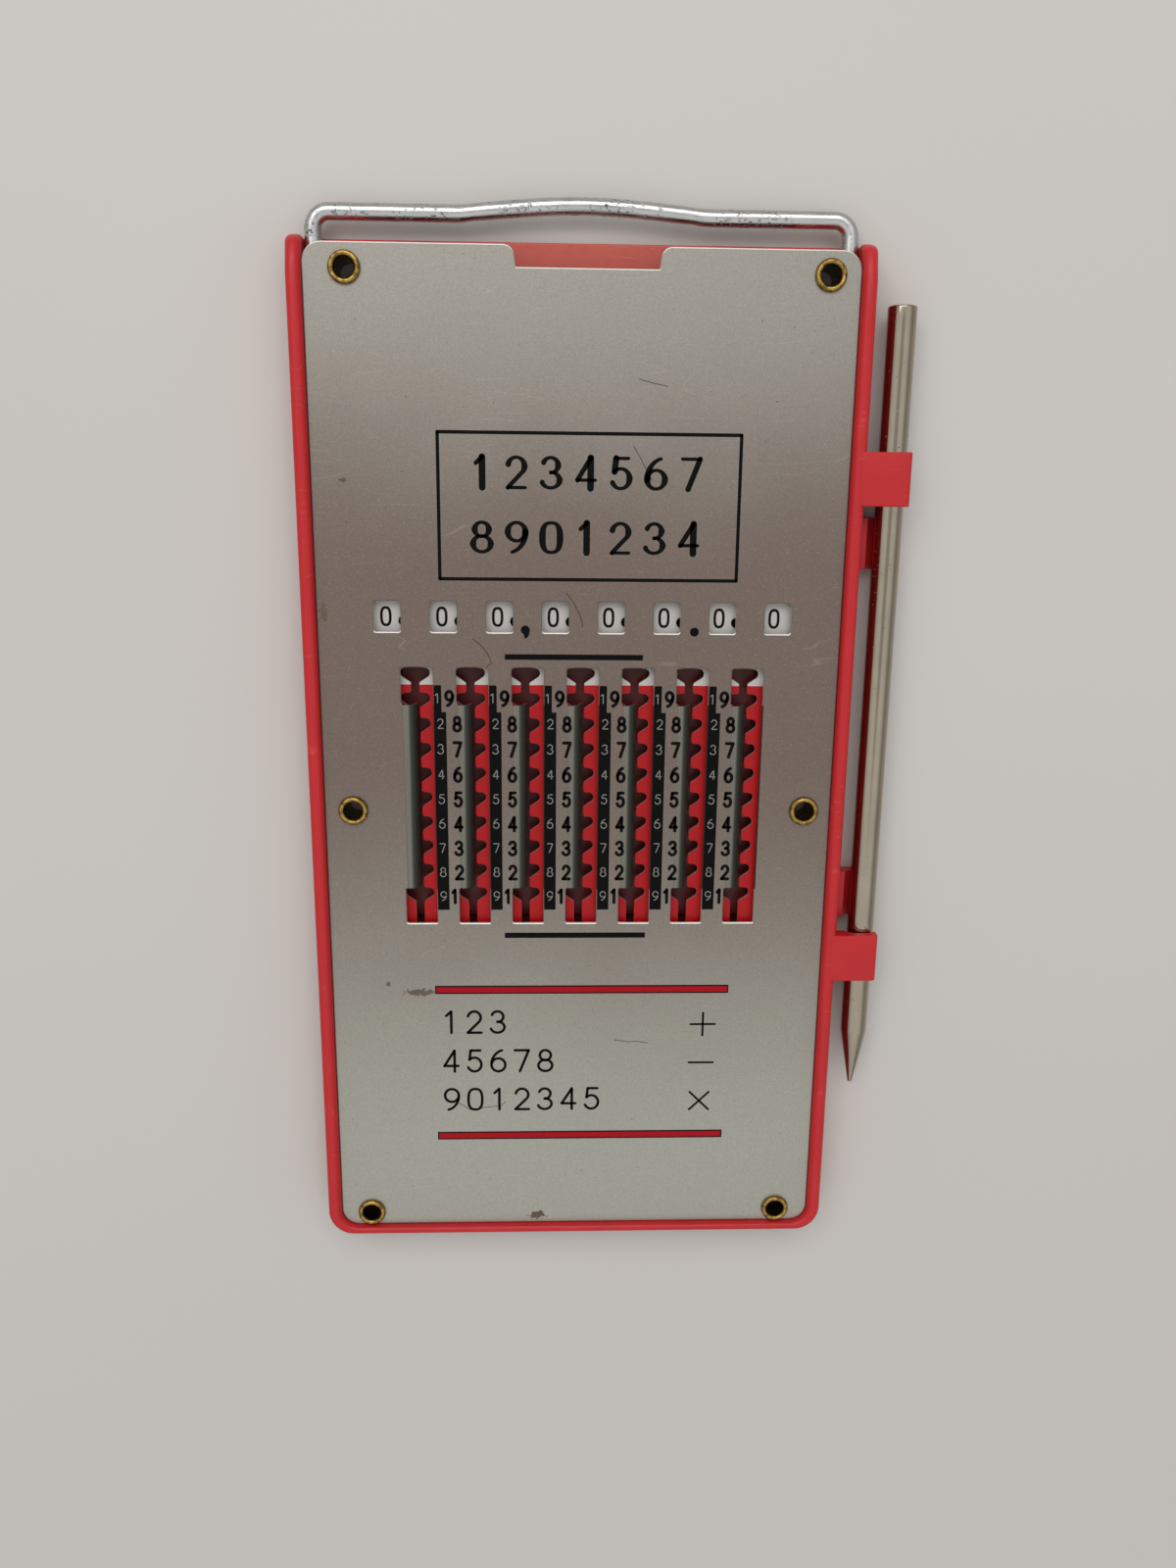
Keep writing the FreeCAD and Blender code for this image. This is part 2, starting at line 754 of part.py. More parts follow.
def make_bail():
    """Bail of round wire, bowed across the head, its leg ends coined flat for the bar."""
    body = new_body("bail_wire")
    leg, bend, head = "leg_column", "bend_radius", "bail_level"
    leg_end = "(bar_top + paddle_top) / 2"
    route = new_sketch(body, "bail_route", offset="wire_level")
    draw(route, [
        (f"-{leg}", leg_end),
        (f"-{leg}", f"{head} - {bend}"),
        (f"-{leg} + {bend}", head, bend, RIGHT),
        ("-bow_half", head),
        ("-bow_half + kink_run", f"{head} + kink_lift", "kink_radius", LEFT),
        ("bow_half - kink_run", f"{head} + kink_lift", "bow_radius", RIGHT),
        ("bow_half", head, "kink_radius", LEFT),
        (f"{leg} - {bend}", head),
        (leg, f"{head} - {bend}", bend, RIGHT),
        (leg, leg_end),
    ], closed=False)
    wire = new_sketch(body, "wire_section", "XZ_Plane", across(leg_end))
    corners = []
    for number in range(WIRE_SIDES):
        angle = 2 * math.pi * number / WIRE_SIDES
        x = f"{math.cos(angle):.5f} * wire_diameter / 2 - {leg}"
        corners.append((x, f"{math.sin(angle):.5f} * wire_diameter / 2 + wire_level"))
    draw(wire, corners)
    sweep = body.newObject("PartDesign::AdditivePipe", "wire")
    sweep.Profile = wire
    sweep.Spine = (route, [f"Edge{number + 1}" for number in range(route.GeometryCount)])
    body.Tip = sweep

    inner = "leg_outer - paddle_width"
    corner = "paddle_corner"
    ends = new_sketch(body, "paddle_outline", offset="paddle_under")
    draw(ends, [
        (f"leg_outer - {corner}", "bar_bottom"),
        ("leg_outer", f"bar_bottom + {corner}"),
        ("leg_outer", "paddle_top"),
        (inner, "paddle_top"),
        (inner, f"bar_bottom + {corner}"),
        (f"{inner} + {corner}", "bar_bottom"),
    ])
    paddle = pad(body, "paddle", ends, "paddle_thickness")
    mirror(body, "paddle_left", [paddle])
    bore_rivets(body, "paddle_bore", "bar_under", "paddle_thickness")
    return body


def bore_rivets(body, name, face, depth):
    """Bore the holes of the two rivets."""
    holes = new_sketch(body, f"{name}_outline", offset=face)
    draw_circle(holes, "-rivet_column", "bar_middle", "rivet_shank")
    draw_circle(holes, "rivet_column", "bar_middle", "rivet_shank")
    pocket(body, name, holes, depth)


def make_bar():
    """Flat bar that lies below the sliders and pushes them up."""
    body = new_body("reset_bar")
    outline = new_sketch(body, "bar_outline", offset="bar_under")
    draw_box(outline, "-bar_half", "bar_half", "bar_bottom", "bar_top")
    pad(body, "bar", outline, "bar_thickness")
    bore_rivets(body, "bar_bore", "bar_face", "bar_thickness")
    return body


def make_rivet(name, side):
    """Rivet that holds one end of the bar on its paddle."""
    body = new_body(name)
    section = new_sketch(body, f"{name}_section", "XZ_Plane")
    draw(section, [
        ("0", "paddle_under"),
        ("rivet_shank", "paddle_under"),
        ("rivet_shank", "bar_face + rivet_head"),
        ("0", "bar_face + rivet_head"),
    ])
    revolve(body, f"{name}_turned", section, "Z_Axis")
    bind(body, "Placement.Base.x", f"{side} * rivet_column")
    bind(body, "Placement.Base.y", "bar_middle")
    return body


def make_stylus():
    """Turned rod with a chamfered head and a tapered, blunt tip."""
    body = new_body("stylus")
    section = new_sketch(body, "stylus_section")
    draw(section, [
        ("0", "stylus_tip"),
        ("tip_diameter / 2", "stylus_tip"),
        ("stylus_radius", "stylus_tip + taper_length"),
        ("stylus_radius", "stylus_top - stylus_chamfer"),
        ("stylus_radius - stylus_chamfer", "stylus_top"),
        ("0", "stylus_top"),
    ])
    revolve(body, "stylus_turned", section, "Y_Axis")
    bind(body, "Placement.Base.x", "stylus_column")
    bind(body, "Placement.Base.z", "stylus_level")
    return body


def make_all():
    """Build every sub-part."""
    bodies = [make_case(), make_plate()]
    bodies += [make_slider(number + 1) for number in range(COLUMNS)]
    bodies += [make_bail(), make_bar()]
    bodies += [make_rivet("reset_rivet_left", -1), make_rivet("reset_rivet_right", 1)]
    bodies += [make_eyelet(name, x, y) for name, x, y in eyelet_places()]
    bodies.append(make_stylus())
    return bodies


def check(bodies):
    """Stop if any object failed or any sub-part's shape is unusable."""
    for item in doc.Objects:
        if {"Invalid", "Error"} & set(item.State):
            raise RuntimeError(f"{item.Label} failed: {item.State}")
    for body in bodies:
        if body.Shape.isNull() or not body.Shape.isValid():
            raise RuntimeError(f"{body.Label} has no valid shape")


def write(bodies):
    """Write each sub-part to a file named after it."""
    os.makedirs(NODES, exist_ok=True)
    for body in bodies:
        body.Shape.exportStep(os.path.join(NODES, f"{body.Label}.step"))
        print(f"{body.Label}: {len(body.Shape.Solids)} solid, {body.Shape.Volume:.2f} mm3")


places = fill_sheets()
sub_parts = make_all()
doc.recompute()
check(sub_parts)
write(sub_parts)
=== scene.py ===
"""Dresses a pocket slide adder: red moulded tray, pierced sheet front, notched strips under it,
brass eyelets, wire bail and stylus, laid on a pale floor. Sizes are in millimetres."""
from __future__ import annotations

import logging
import math
from dataclasses import dataclass
from enum import Enum
from typing import Iterable, Sequence

import bmesh
import bpy
import numpy as np
from mathutils import Matrix, Vector
from mathutils.geometry import delaunay_2d_cdt

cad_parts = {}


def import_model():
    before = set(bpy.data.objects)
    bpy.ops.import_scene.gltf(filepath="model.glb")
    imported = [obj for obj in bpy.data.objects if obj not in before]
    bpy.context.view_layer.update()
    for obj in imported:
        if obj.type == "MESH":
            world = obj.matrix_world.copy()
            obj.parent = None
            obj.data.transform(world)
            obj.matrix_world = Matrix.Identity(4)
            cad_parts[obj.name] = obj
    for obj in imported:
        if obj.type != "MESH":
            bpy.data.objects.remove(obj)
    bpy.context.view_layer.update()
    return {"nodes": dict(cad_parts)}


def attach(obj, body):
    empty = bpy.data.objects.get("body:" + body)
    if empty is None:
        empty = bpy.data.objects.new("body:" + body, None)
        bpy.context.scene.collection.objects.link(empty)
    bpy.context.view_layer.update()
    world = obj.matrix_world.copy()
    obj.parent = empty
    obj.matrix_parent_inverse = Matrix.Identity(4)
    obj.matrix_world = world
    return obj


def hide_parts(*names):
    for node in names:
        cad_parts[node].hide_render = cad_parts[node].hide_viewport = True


LOG = logging.getLogger("slide_adder")
MM = 0.001
INK_THICKNESS = 0.008
# Power of sine and cosine that squares the numeral 0
ZERO_POWER = 2 / 2.7

Array = np.ndarray
Face = list[int]
Place = tuple[float, float]
Triple = tuple[float, float, float]
Rgb = tuple[float, float, float]


# Surfaces


@dataclass
class Shape:
    """Corner points in millimetres, the faces between them, and which of them are flat."""

    points: Array
    faces: list[Face]
    flat: list[bool]

    def moved(self, x: float = 0.0, y: float = 0.0, z: float = 0.0) -> Shape:
        """Return the shape shifted by x, y and z."""
        return Shape(self.points + np.array([x, y, z]), self.faces, self.flat)

    def reordered(self, order: Sequence[int]) -> Shape:
        """Return the shape with its axes taken in another order."""
        return Shape(self.points[:, list(order)], self.faces, self.flat)

    @staticmethod
    def gather(shapes: Iterable[Shape]) -> Shape:
        """Put several shapes into one, with their face numbers moved along."""
        parts = list(shapes)
        starts = np.cumsum([0] + [len(part.points) for part in parts])
        faces = [
            [corner + int(start) for corner in face]
            for start, part in zip(starts, parts)
            for face in part.faces
        ]
        flat = [mark for part in parts for mark in part.flat]
        return Shape(np.concatenate([part.points for part in parts]), faces, flat)


def grid_faces(rows: int, columns: int, around: bool, along: bool = False) -> list[Face]:
    """Number the four-sided faces of a grid of points.

    Args:
        rows: Number of rows of points.
        columns: Number of points in a row.
        around: Whether each row closes on itself.
        along: Whether the last row joins the first one.

    Returns:
        One list of four point numbers for each face.
    """
    here = np.arange(rows * columns).reshape(rows, columns)
    beside, below = np.roll(here, -1, axis=1), np.roll(here, -1, axis=0)
    corners = np.stack([here, beside, np.roll(beside, -1, axis=0), below], axis=-1)
    kept = corners[:rows if along else -1, :columns if around else -1]
    return kept.reshape(-1, 4).tolist()


def lofted(rings: Array, along: bool = False) -> Shape:
    """Skin a stack of closed rings; an open stack is closed by its first and last ring.

    Args:
        rings: Array of shape (rings, points, 3).
        along: Whether the last ring joins the first one.

    Returns:
        The closed skin.
    """
    count, size = rings.shape[:2]
    faces = grid_faces(count, size, around=True, along=along)
    flat = [False] * len(faces)
    if not along:
        faces += [list(range(size))[::-1], list(range((count - 1) * size, count * size))]
        flat += [True, True]
    return Shape(rings.reshape(-1, 3), faces, flat)


def rounded(corners: Sequence[Triple], pieces: int) -> Array:
    """Round the corners of a polygon.

    At a corner with radius r and half angle a, the arc's centre lies r / sin a along the
    bisector, and its points turn evenly between the two sides it touches.

    Args:
        corners: Corners (x, y, radius) in turning order to the left.
        pieces: Number of steps in each arc.

    Returns:
        The closed outline as an array of points.
    """
    spots = np.array(corners, float)
    here, radius = spots[:, :2], spots[:, 2:3]
    back = np.roll(here, 1, axis=0) - here
    ahead = np.roll(here, -1, axis=0) - here
    back /= np.linalg.norm(back, axis=1, keepdims=True)
    ahead /= np.linalg.norm(ahead, axis=1, keepdims=True)
    half = np.arccos(np.clip(np.sum(back * ahead, axis=1, keepdims=True), -1.0, 1.0)) / 2
    bisector = back + ahead
    bisector /= np.maximum(np.linalg.norm(bisector, axis=1, keepdims=True), 1e-9)
    centre = here + bisector * radius / np.sin(half)
    first = here + back * radius / np.tan(half) - centre
    turn = np.sign(back[:, :1] * ahead[:, 1:] - back[:, 1:] * ahead[:, :1])
    sweep = -turn * (math.pi - 2 * half)
    angle = np.arctan2(first[:, 1:], first[:, :1]) + sweep * np.linspace(0, 1, pieces + 1)
    arcs = centre[:, None] + radius[:, None] * np.stack([np.cos(angle), np.sin(angle)], axis=-1)
    sharp = radius[:, 0] < 1e-6
    arcs[sharp] = here[sharp][:, None]
    points = arcs.reshape(-1, 2)
    apart = np.linalg.norm(points - np.roll(points, 1, axis=0), axis=1) > 1e-5
    return points[apart]


def box_outline(left: float, right: float, low: float, high: float, radius: float,
                pieces: int = 5) -> Array:
    """Return a rectangle's outline with rounded corners."""
    corners = ((left, low), (right, low), (right, high), (left, high))
    return rounded([(x, y, radius) for x, y in corners], pieces)


def circle(x: float, y: float, radius: float, pieces: int = 56) -> Array:
    """Return a circle's points, turning left."""
    angle = np.linspace(0, 2 * math.pi, pieces, endpoint=False)
    return np.stack([x + radius * np.cos(angle), y + radius * np.sin(angle)], axis=1)


def mirrored(path: Array) -> Array:
    """Return a path's mirror image across the middle, run the other way."""
    return path[::-1] * np.array([-1, 1])


def eased(share: Array) -> Array:
    """Hold a share between 0 and 1 and let it start and end softly: 3 s^2 - 2 s^3."""
    held = np.clip(share, 0, 1)
    return held * held * (3 - 2 * held)


def signed_power(number: Array, power: Array | float) -> Array:
    """Raise the size of a number to a power and keep its sign, which squares a circle."""
    return np.sign(number) * np.abs(number) ** power


def swollen(outline: Array, distance: float) -> Array:
    """Move a closed outline outwards.

    Each point goes along the mean of the normals of its two sides, as far as the distance
    over the cosine of half the turn between them.

    Args:
        outline: Points turning left.
        distance: How far; a negative distance shrinks the outline.

    Returns:
        The moved points.
    """
    side = np.roll(outline, -1, axis=0) - outline
    normal = np.stack([side[:, 1], -side[:, 0]], axis=1)
    normal /= np.linalg.norm(normal, axis=1, keepdims=True)
    mean = normal + np.roll(normal, 1, axis=0)
    mean /= np.maximum(np.sum(mean * mean, axis=1, keepdims=True) / 2, 0.35)
    return outline + mean * distance


def rim(high: float, low: float, upper: float, lower: float, steps: int = 3) -> Array:
    """Describe a sheet's edge from its front to its back as (distance cut away, height).

    The edge is a quarter circle of the upper radius, a straight wall, and a quarter circle
    of the lower radius.
    """
    turn = np.linspace(0, math.pi / 2, steps + 1)
    front = np.stack([upper * (1 - np.sin(turn)), high - upper * (1 - np.cos(turn))], axis=1)
    back = np.stack([lower * (1 - np.cos(turn)), low + lower * (1 - np.sin(turn))], axis=1)
    return np.concatenate([front, back])


def flat_face(loops: Sequence[Array]) -> list[Face]:
    """Fill the area between an outline and the holes in it with triangles.

    All points are joined to triangles along the given edges. A triangle stays where a level
    line from its middle crosses the edges an odd number of times.

    Args:
        loops: The outline and then its holes, each an array of points.

    Returns:
        Triangles as point numbers, counted through the loops in order.
    """
    spots = np.concatenate(loops)
    starts = np.cumsum([0] + [len(loop) for loop in loops])
    edges = [
        (int(start) + step, int(start) + (step + 1) % len(loop))
        for start, loop in zip(starts, loops)
        for step in range(len(loop))
    ]
    found = delaunay_2d_cdt([Vector(spot) for spot in spots], edges, [], 0, 1e-7)
    places, triangles, origins = found[0], found[2], found[3]
    if len(places) != len(spots):
        raise ValueError("a flat face's outlines touch each other")
    order = np.array([origin[0] for origin in origins])
    corners = order[np.array(triangles)]
    middle = spots[corners].mean(axis=1)[:, None]
    start, end = spots[np.array(edges)].transpose(1, 0, 2)
    run, rise = (end - start).T
    share = (middle[..., 1] - start[:, 1]) / np.where(rise == 0, np.inf, rise)
    beside = middle[..., 0] < start[:, 0] + run * share
    crossed = ((start[:, 1] > middle[..., 1]) != (end[:, 1] > middle[..., 1])) & beside
    return corners[crossed.sum(axis=1) % 2 == 1].tolist()


def pierced(outline: Array, edge: Array, holes: Sequence[tuple[Array, Array]] = ()) -> Shape:
    """Build a flat piece of one thickness with shaped edges and shaped holes.

    Every outline is repeated once for each point of its edge, moved into the material by
    the distance there and lifted to the height there. Triangles close front and back.

    Args:
        outline: The outline, turning left.
        edge: The outline's edge as (distance, height), from front to back.
        holes: Outlines of holes, turning left, each with its own edge.

    Returns:
        The closed piece.
    """
    walls, fronts, backs = [], [], []
    for loop, profile, inward in [(outline, edge, -1)] + [(*hole, 1) for hole in holes]:
        rings = np.stack([
            np.column_stack([swollen(loop, inward * away), np.full(len(loop), height)])
            for away, height in profile
        ])
        faces = grid_faces(len(profile), len(loop), around=True)
        walls.append(Shape(rings.reshape(-1, 3), faces, [False] * len(faces)))
        fronts.append(rings[0])
        backs.append(rings[-1])
    lids = []
    for loops in (fronts, backs):
        faces = flat_face([loop[:, :2] for loop in loops])
        lids.append(Shape(np.concatenate(loops), faces, [True] * len(faces)))
    return Shape.gather(walls + lids)


def filled(outline: Array, height: float) -> Shape:
    """Fill an outline with one layer of faces at a height."""
    faces = flat_face([outline])
    points = np.column_stack([outline, np.full(len(outline), height)])
    return Shape(points, faces, [True] * len(faces))


def turned(profile: Array, x: float, y: float, pieces: int = 72) -> Shape:
    """Turn a closed profile of (radius, height) once round an upright axis at x, y."""
    angle = np.linspace(0, 2 * math.pi, pieces, endpoint=False)[:, None]
    rings = np.stack([
        x + profile[:, 0] * np.cos(angle),
        y + profile[:, 0] * np.sin(angle),
        np.broadcast_to(profile[:, 1], (pieces, len(profile))),
    ], axis=-1)
    return lofted(rings, along=True)


def stroke(path: Array, width: float, height: float, contrast: float = 0.0,
           closed: bool = False) -> Shape:
    """Carry a flat line of ink along a path.

    The line's half width stands square to the path on both sides. With a contrast, a level
    stretch is thinner than an upright one by that share. Open ends get half circles.

    Args:
        path: Points (x, y) of the line's middle.
        width: Full width of an upright stretch.
        height: Level of the surface that carries the ink.
        contrast: Share of the width that a level stretch loses.
        closed: Whether the path runs back into its start.

    Returns:
        The line of ink as one layer of faces.
    """
    if closed:
        along = np.roll(path, -1, axis=0) - np.roll(path, 1, axis=0)
    else:
        along = np.gradient(path, axis=0)
    along /= np.maximum(np.linalg.norm(along, axis=1, keepdims=True), 1e-9)
    half = width / 2 * (1 - contrast * np.abs(along[:, :1]))
    square = np.stack([-along[:, 1], along[:, 0]], axis=1)
    rows = np.stack([path + square * half, path - square * half], axis=1)
    count = len(path)
    faces = grid_faces(count, 2, around=False, along=closed)
    points = rows.reshape(-1, 2)
    if not closed:
        angle = np.linspace(0, math.pi, 9)[1:-1, None]
        for end, sense in ((0, -1), (count - 1, 1)):
            turn = square[end] * np.cos(angle) + sense * along[end] * np.sin(angle)
            cap = path[end] + half[end] * turn
            start = len(points)
            points = np.concatenate([points, cap])
            faces.append([2 * end] + list(range(start, start + len(cap))) + [2 * end + 1])
    level = np.column_stack([points, np.full(len(points), height)])
    return Shape(level, faces, [True] * len(faces))


# Numerals


def arc(x: float, y: float, wide: float, tall: float, start: float, end: float,
        pieces: int = 20) -> Array:
    """Return points on an ellipse between two angles in degrees."""
    angle = np.radians(np.linspace(start, end, pieces + 1))
    return np.stack([x + wide * np.cos(angle), y + tall * np.sin(angle)], axis=1)


def straight(*spots: Place) -> Array:
    """Return a run of straight stretches as closely spaced points."""
    corners = np.array(spots, float)
    place = np.linspace(0, len(corners) - 1, 8 * (len(corners) - 1) + 1)
    steps = np.arange(len(corners))
    return np.stack([np.interp(place, steps, corners[:, axis]) for axis in (0, 1)], axis=1)


def numeral(figure: int) -> list[tuple[Array, bool]]:
    """Draw a numeral's strokes in a box one wide and one high.

    Args:
        figure: The numeral, 0 to 9.

    Returns:
        Strokes as (points, whether it is closed).
    """
    if figure == 0:
        angle = np.linspace(0, 2 * math.pi, 40, endpoint=False)
        ring = np.stack([np.cos(angle), np.sin(angle)], axis=1)
        return [(0.5 + 0.5 * signed_power(ring, ZERO_POWER), True)]
    if figure == 6:
        return [(arc(0.5, 0.31, 0.5, 0.31, 0, 342, 36), True),
                (arc(1.0, 0.33, 1.0, 0.69, 180, 104), False)]
    if figure == 8:
        return [(arc(0.5, 0.76, 0.4, 0.24, 0, 350, 35), True),
                (arc(0.5, 0.27, 0.5, 0.27, 0, 350, 35), True)]
    if figure == 9:
        return [(1 - path, closed) for path, closed in numeral(6)]
    bow = arc(0.5, 0.71, 0.46, 0.29, 168, -38)
    paths = {
        1: [straight((0.55, 0), (0.55, 1)), straight((0.55, 1), (0.2, 0.8))],
        2: [np.concatenate([bow, straight(tuple(bow[-1]), (0.02, 0.0))[1:]]),
            straight((0.02, 0.0), (1, 0))],
        3: [arc(0.46, 0.75, 0.42, 0.25, 160, -90), arc(0.46, 0.26, 0.5, 0.26, 90, -162)],
        4: [straight((0.74, 0), (0.74, 1)), straight((0.74, 1), (0, 0.27)),
            straight((0, 0.27), (1, 0.27))],
        5: [straight((0.9, 1), (0.2, 1)), straight((0.2, 1), (0.12, 0.56)),
            arc(0.47, 0.33, 0.5, 0.33, 136, -156)],
        7: [straight((0, 1), (1, 1)), straight((1, 1), (0.36, 0))],
    }
    return [(path, False) for path in paths[figure]]


def figure_at(figure: int, middle: Place, size: Place, width: float, height: float,
              contrast: float = 0.0) -> list[Shape]:
    """Place one numeral's lines of ink.

    Args:
        figure: The numeral, 0 to 9.
        middle: Where its middle is.
        size: How wide and how tall it is, ink included.
        width: Width of the ink.
        height: Level of the surface that carries the ink.
        contrast: Share of the width that a level stretch loses.

    Returns:
        Its lines, each as one layer of faces.
    """
    inner = np.array(size) - width
    corner = np.array(middle) - inner / 2
    return [
        stroke(corner + path * inner, width, height, contrast, closed)
        for path, closed in numeral(figure)
    ]


# Finishes


def colour(shown: Rgb) -> tuple[float, float, float, float]:
    """Turn a colour as a screen shows it, 0 to 255, into linear light."""
    share = np.array(shown) / 255
    light = np.where(share <= 0.04045, share / 12.92, ((share + 0.055) / 1.055) ** 2.4)
    return (*light.tolist(), 1.0)


class Signal:
    """One output of a shader node, open to plain arithmetic."""

    def __init__(self, nodes: Nodes, socket: bpy.types.NodeSocket) -> None:
        """Keep the output and the material that it is part of."""
        self.nodes = nodes
        self.socket = socket

    def math(self, operation: str, other: Signal | float = 0.0) -> Signal:
        """Combine the number with another one."""
        return self.nodes.add("ShaderNodeMath", {0: self, 1: other}, operation=operation)

    def __add__(self, other: Signal | float) -> Signal:
        """Add a number."""
        return self.math("ADD", other)

    def __sub__(self, other: Signal | float) -> Signal:
        """Take a number away."""
        return self.math("SUBTRACT", other)

    def __mul__(self, other: Signal | float) -> Signal:
        """Multiply by a number."""
        return self.math("MULTIPLY", other)

    def __abs__(self) -> Signal:
        """Drop the sign."""
        return self.math("ABSOLUTE")

    def axis(self, number: int) -> Signal:
        """Return one coordinate of a vector."""
        return self.nodes.add("ShaderNodeSeparateXYZ", {0: self}, number)

    def span(self, low: float, high: float, start: float = 0.0, end: float = 1.0) -> Signal:
        """Map the number smoothly from low..high to start..end and hold it inside."""
        ends = {0: self, 1: low, 2: high, 3: start, 4: end}
        return self.nodes.add("ShaderNodeMapRange", ends, interpolation_type="SMOOTHSTEP")

    def below(self, low: float, high: float) -> Signal:
        """Return 1 under low, falling to 0 above high."""
        return self.span(low, high, 1.0, 0.0)

    def spread(self, start: float, end: float) -> Signal:
        """Spread the middle values of a noise from start to end."""
        return self.span(0.3, 0.7, start, end)


class Nodes:
    """Short way to write the nodes of one material, on object coordinates in millimetres."""

    def __init__(self, name: str) -> None:
        """Start an empty material."""
        self.material = bpy.data.materials.new(name)
        self.material.use_nodes = True
        self.tree = self.material.node_tree
        self.tree.nodes.clear()
        place = self.tree.nodes.new("ShaderNodeTexCoord")
        self.facing = Signal(self, place.outputs["Normal"])
        metres = Signal(self, place.outputs["Object"])
        self.place = self.add("ShaderNodeVectorMath", {0: metres, "Scale": 1 / MM},
                              operation="SCALE")

    def add(self, kind: str, sockets: dict, out: int | str = 0, **settings: object) -> Signal:
        """Add a node.

        Args:
            kind: Blender's name of the node.
            sockets: Values or signals for its inputs, by name or number.
            out: The output that is wanted.
            **settings: The node's own settings.

        Returns:
            That output.
        """
        node = self.tree.nodes.new(kind)
        for name, setting in settings.items():
            setattr(node, name, setting)
        for name, content in sockets.items():
            if isinstance(content, Signal):
                self.tree.links.new(content.socket, node.inputs[name])
            else:
                node.inputs[name].default_value = content
        return Signal(self, node.outputs[out])

    def axis(self, number: int) -> Signal:
        """Return one coordinate in millimetres."""
        return self.place.axis(number)

    def slant(self, number: int) -> Signal:
        """Return how far a face looks along an axis, whichever way."""
        return abs(self.facing.axis(number))

    def noise(self, size: float, detail: float = 2.0, stretch: Triple = (1, 1, 1),
              shift: float = 0.0) -> Signal:
        """Return cloudy noise whose spots are about size across, drawn out by stretch."""
        spot = self.add("ShaderNodeMapping", {
            "Vector": self.place, "Location": (shift, shift, shift),
            "Scale": tuple(1 / (size * factor) for factor in stretch),
        })
        settings = {"Vector": spot, "Scale": 1.0, "Detail": detail, "Roughness": 0.6}
        return self.add("ShaderNodeTexNoise", settings)

    def blend(self, share: Signal, first: Signal | Rgb, second: Signal | Rgb) -> Signal:
        """Mix two colours, which are signals or given as a screen shows them."""
        one, two = (part if isinstance(part, Signal) else colour(part) for part in (first, second))
        return self.add("ShaderNodeMix", {0: share, 6: one, 7: two}, 2, data_type="RGBA")

    def scratches(self, size: float, angle: float, shift: float, width: float = 0.02) -> Signal:
        """Return a mask of fine scratches: the middle level of drawn-out noise, in patches.

        Args:
            size: Distance between scratches, which are nine times as long.
            angle: Turn of the pattern in radians.
            shift: Place in the noise.
            width: Share of the noise's span that a scratch takes.

        Returns:
            A number from 0 to 1, which is 1 on a scratch.
        """
        spot = self.add("ShaderNodeMapping", {
            "Vector": self.place, "Location": (shift, shift, 0), "Rotation": (0, 0, angle),
            "Scale": (1 / (size * 9), 1 / size, 1 / size),
        })
        lines = self.add("ShaderNodeTexNoise", {"Vector": spot, "Scale": 1.0, "Detail": 1.0})
        patches = self.noise(size * 2.2, shift=shift).span(0.56, 0.64)
        return abs(lines - 0.5).below(0.0, width) * patches

    def stain(self, x: float, y: float, wide: float, tall: float) -> Signal:
        """Return a ragged patch round a place, fading to its edge."""
        away = self.add("ShaderNodeMapping", {
            "Vector": self.place, "Location": (-x / wide, -y / tall, 0.0),
            "Scale": (1 / wide, 1 / tall, 0.0),
        })
        reach = self.add("ShaderNodeVectorMath", {0: away}, "Value", operation="LENGTH")
        return (reach + (self.noise(0.5, 3.0) - 0.5) * 2.6).below(0.75, 1.0)

    def bump(self, height: Signal, distance: float) -> Signal:
        """Turn a height in shares of a distance in millimetres into a normal."""
        settings = {"Height": height, "Strength": 1.0, "Distance": distance * MM}
        return self.add("ShaderNodeBump", settings)

    def close(self, sockets: dict) -> bpy.types.Material:
        """Finish the material with one surface shader."""
        surface = self.add("ShaderNodeBsdfPrincipled", sockets)
        end = self.tree.nodes.new("ShaderNodeOutputMaterial")
        self.tree.links.new(surface.socket, end.inputs["Surface"])
        return self.material


@dataclass(frozen=True)
class MouldedRed:
    """Red moulding compound, satin, scuffed, dusty in the head, with painted shade under the sheet.
    """

    body: Rgb = (194, 36, 40)
    deep: Rgb = (172, 26, 30)
    scuffed: Rgb = (222, 104, 98)
    dusty: Rgb = (184, 102, 84)
    painted_shade_red: Rgb = (62, 12, 11)
    head_edge: float = 57.5
    depth: Triple = (1.2, 0.25, 0.2)

    def material(self) -> bpy.types.Material:
        """Build the material: cloudy red, scratches, dust on the head's floor, painted shade below
        the sheet.
        """
        nodes = Nodes("moulded_red")
        across, up, high = abs(nodes.axis(0)), nodes.axis(1), nodes.axis(2)
        scratches = nodes.scratches(1.6, 1.25, 3.0)
        cloud = nodes.blend(nodes.noise(9.0, 3.0), self.deep, self.body)
        worn = nodes.blend(scratches * 0.2, cloud, self.scuffed)
        in_head = up.span(self.head_edge, self.head_edge + 1.5) * high.below(1.15, 1.3)
        dust = in_head * (across.below(12.0, 20.0) * nodes.slant(2).span(0.7, 0.95))
        dust = dust * nodes.noise(1.2, 4.0).span(0.2, 0.5, 0.55, 0.85)
        # Painted shade: everything lower than the sheet's seat inside the rail turns dark red,
        # fading out towards head and foot.
        under_sheet = high.below(3.4, 4.2) * across.below(31.4, 31.9)
        painted_shade = under_sheet * abs(up).span(57.0, 60.0, 0.9, 0.0)
        shown = nodes.blend(painted_shade, nodes.blend(dust, worn, self.dusty), self.painted_shade_red)
        height = nodes.noise(0.7, 3.0) * 0.25 - scratches
        return nodes.close({
            "Base Color": shown, "Roughness": nodes.noise(2.4, 4.0).spread(0.3, 0.46),
            "Specular IOR Level": 0.32, "Subsurface Weight": 0.08,
            "Subsurface Radius": self.depth, "Subsurface Scale": 0.6 * MM,
            "Normal": nodes.bump(height, 0.02),
        })


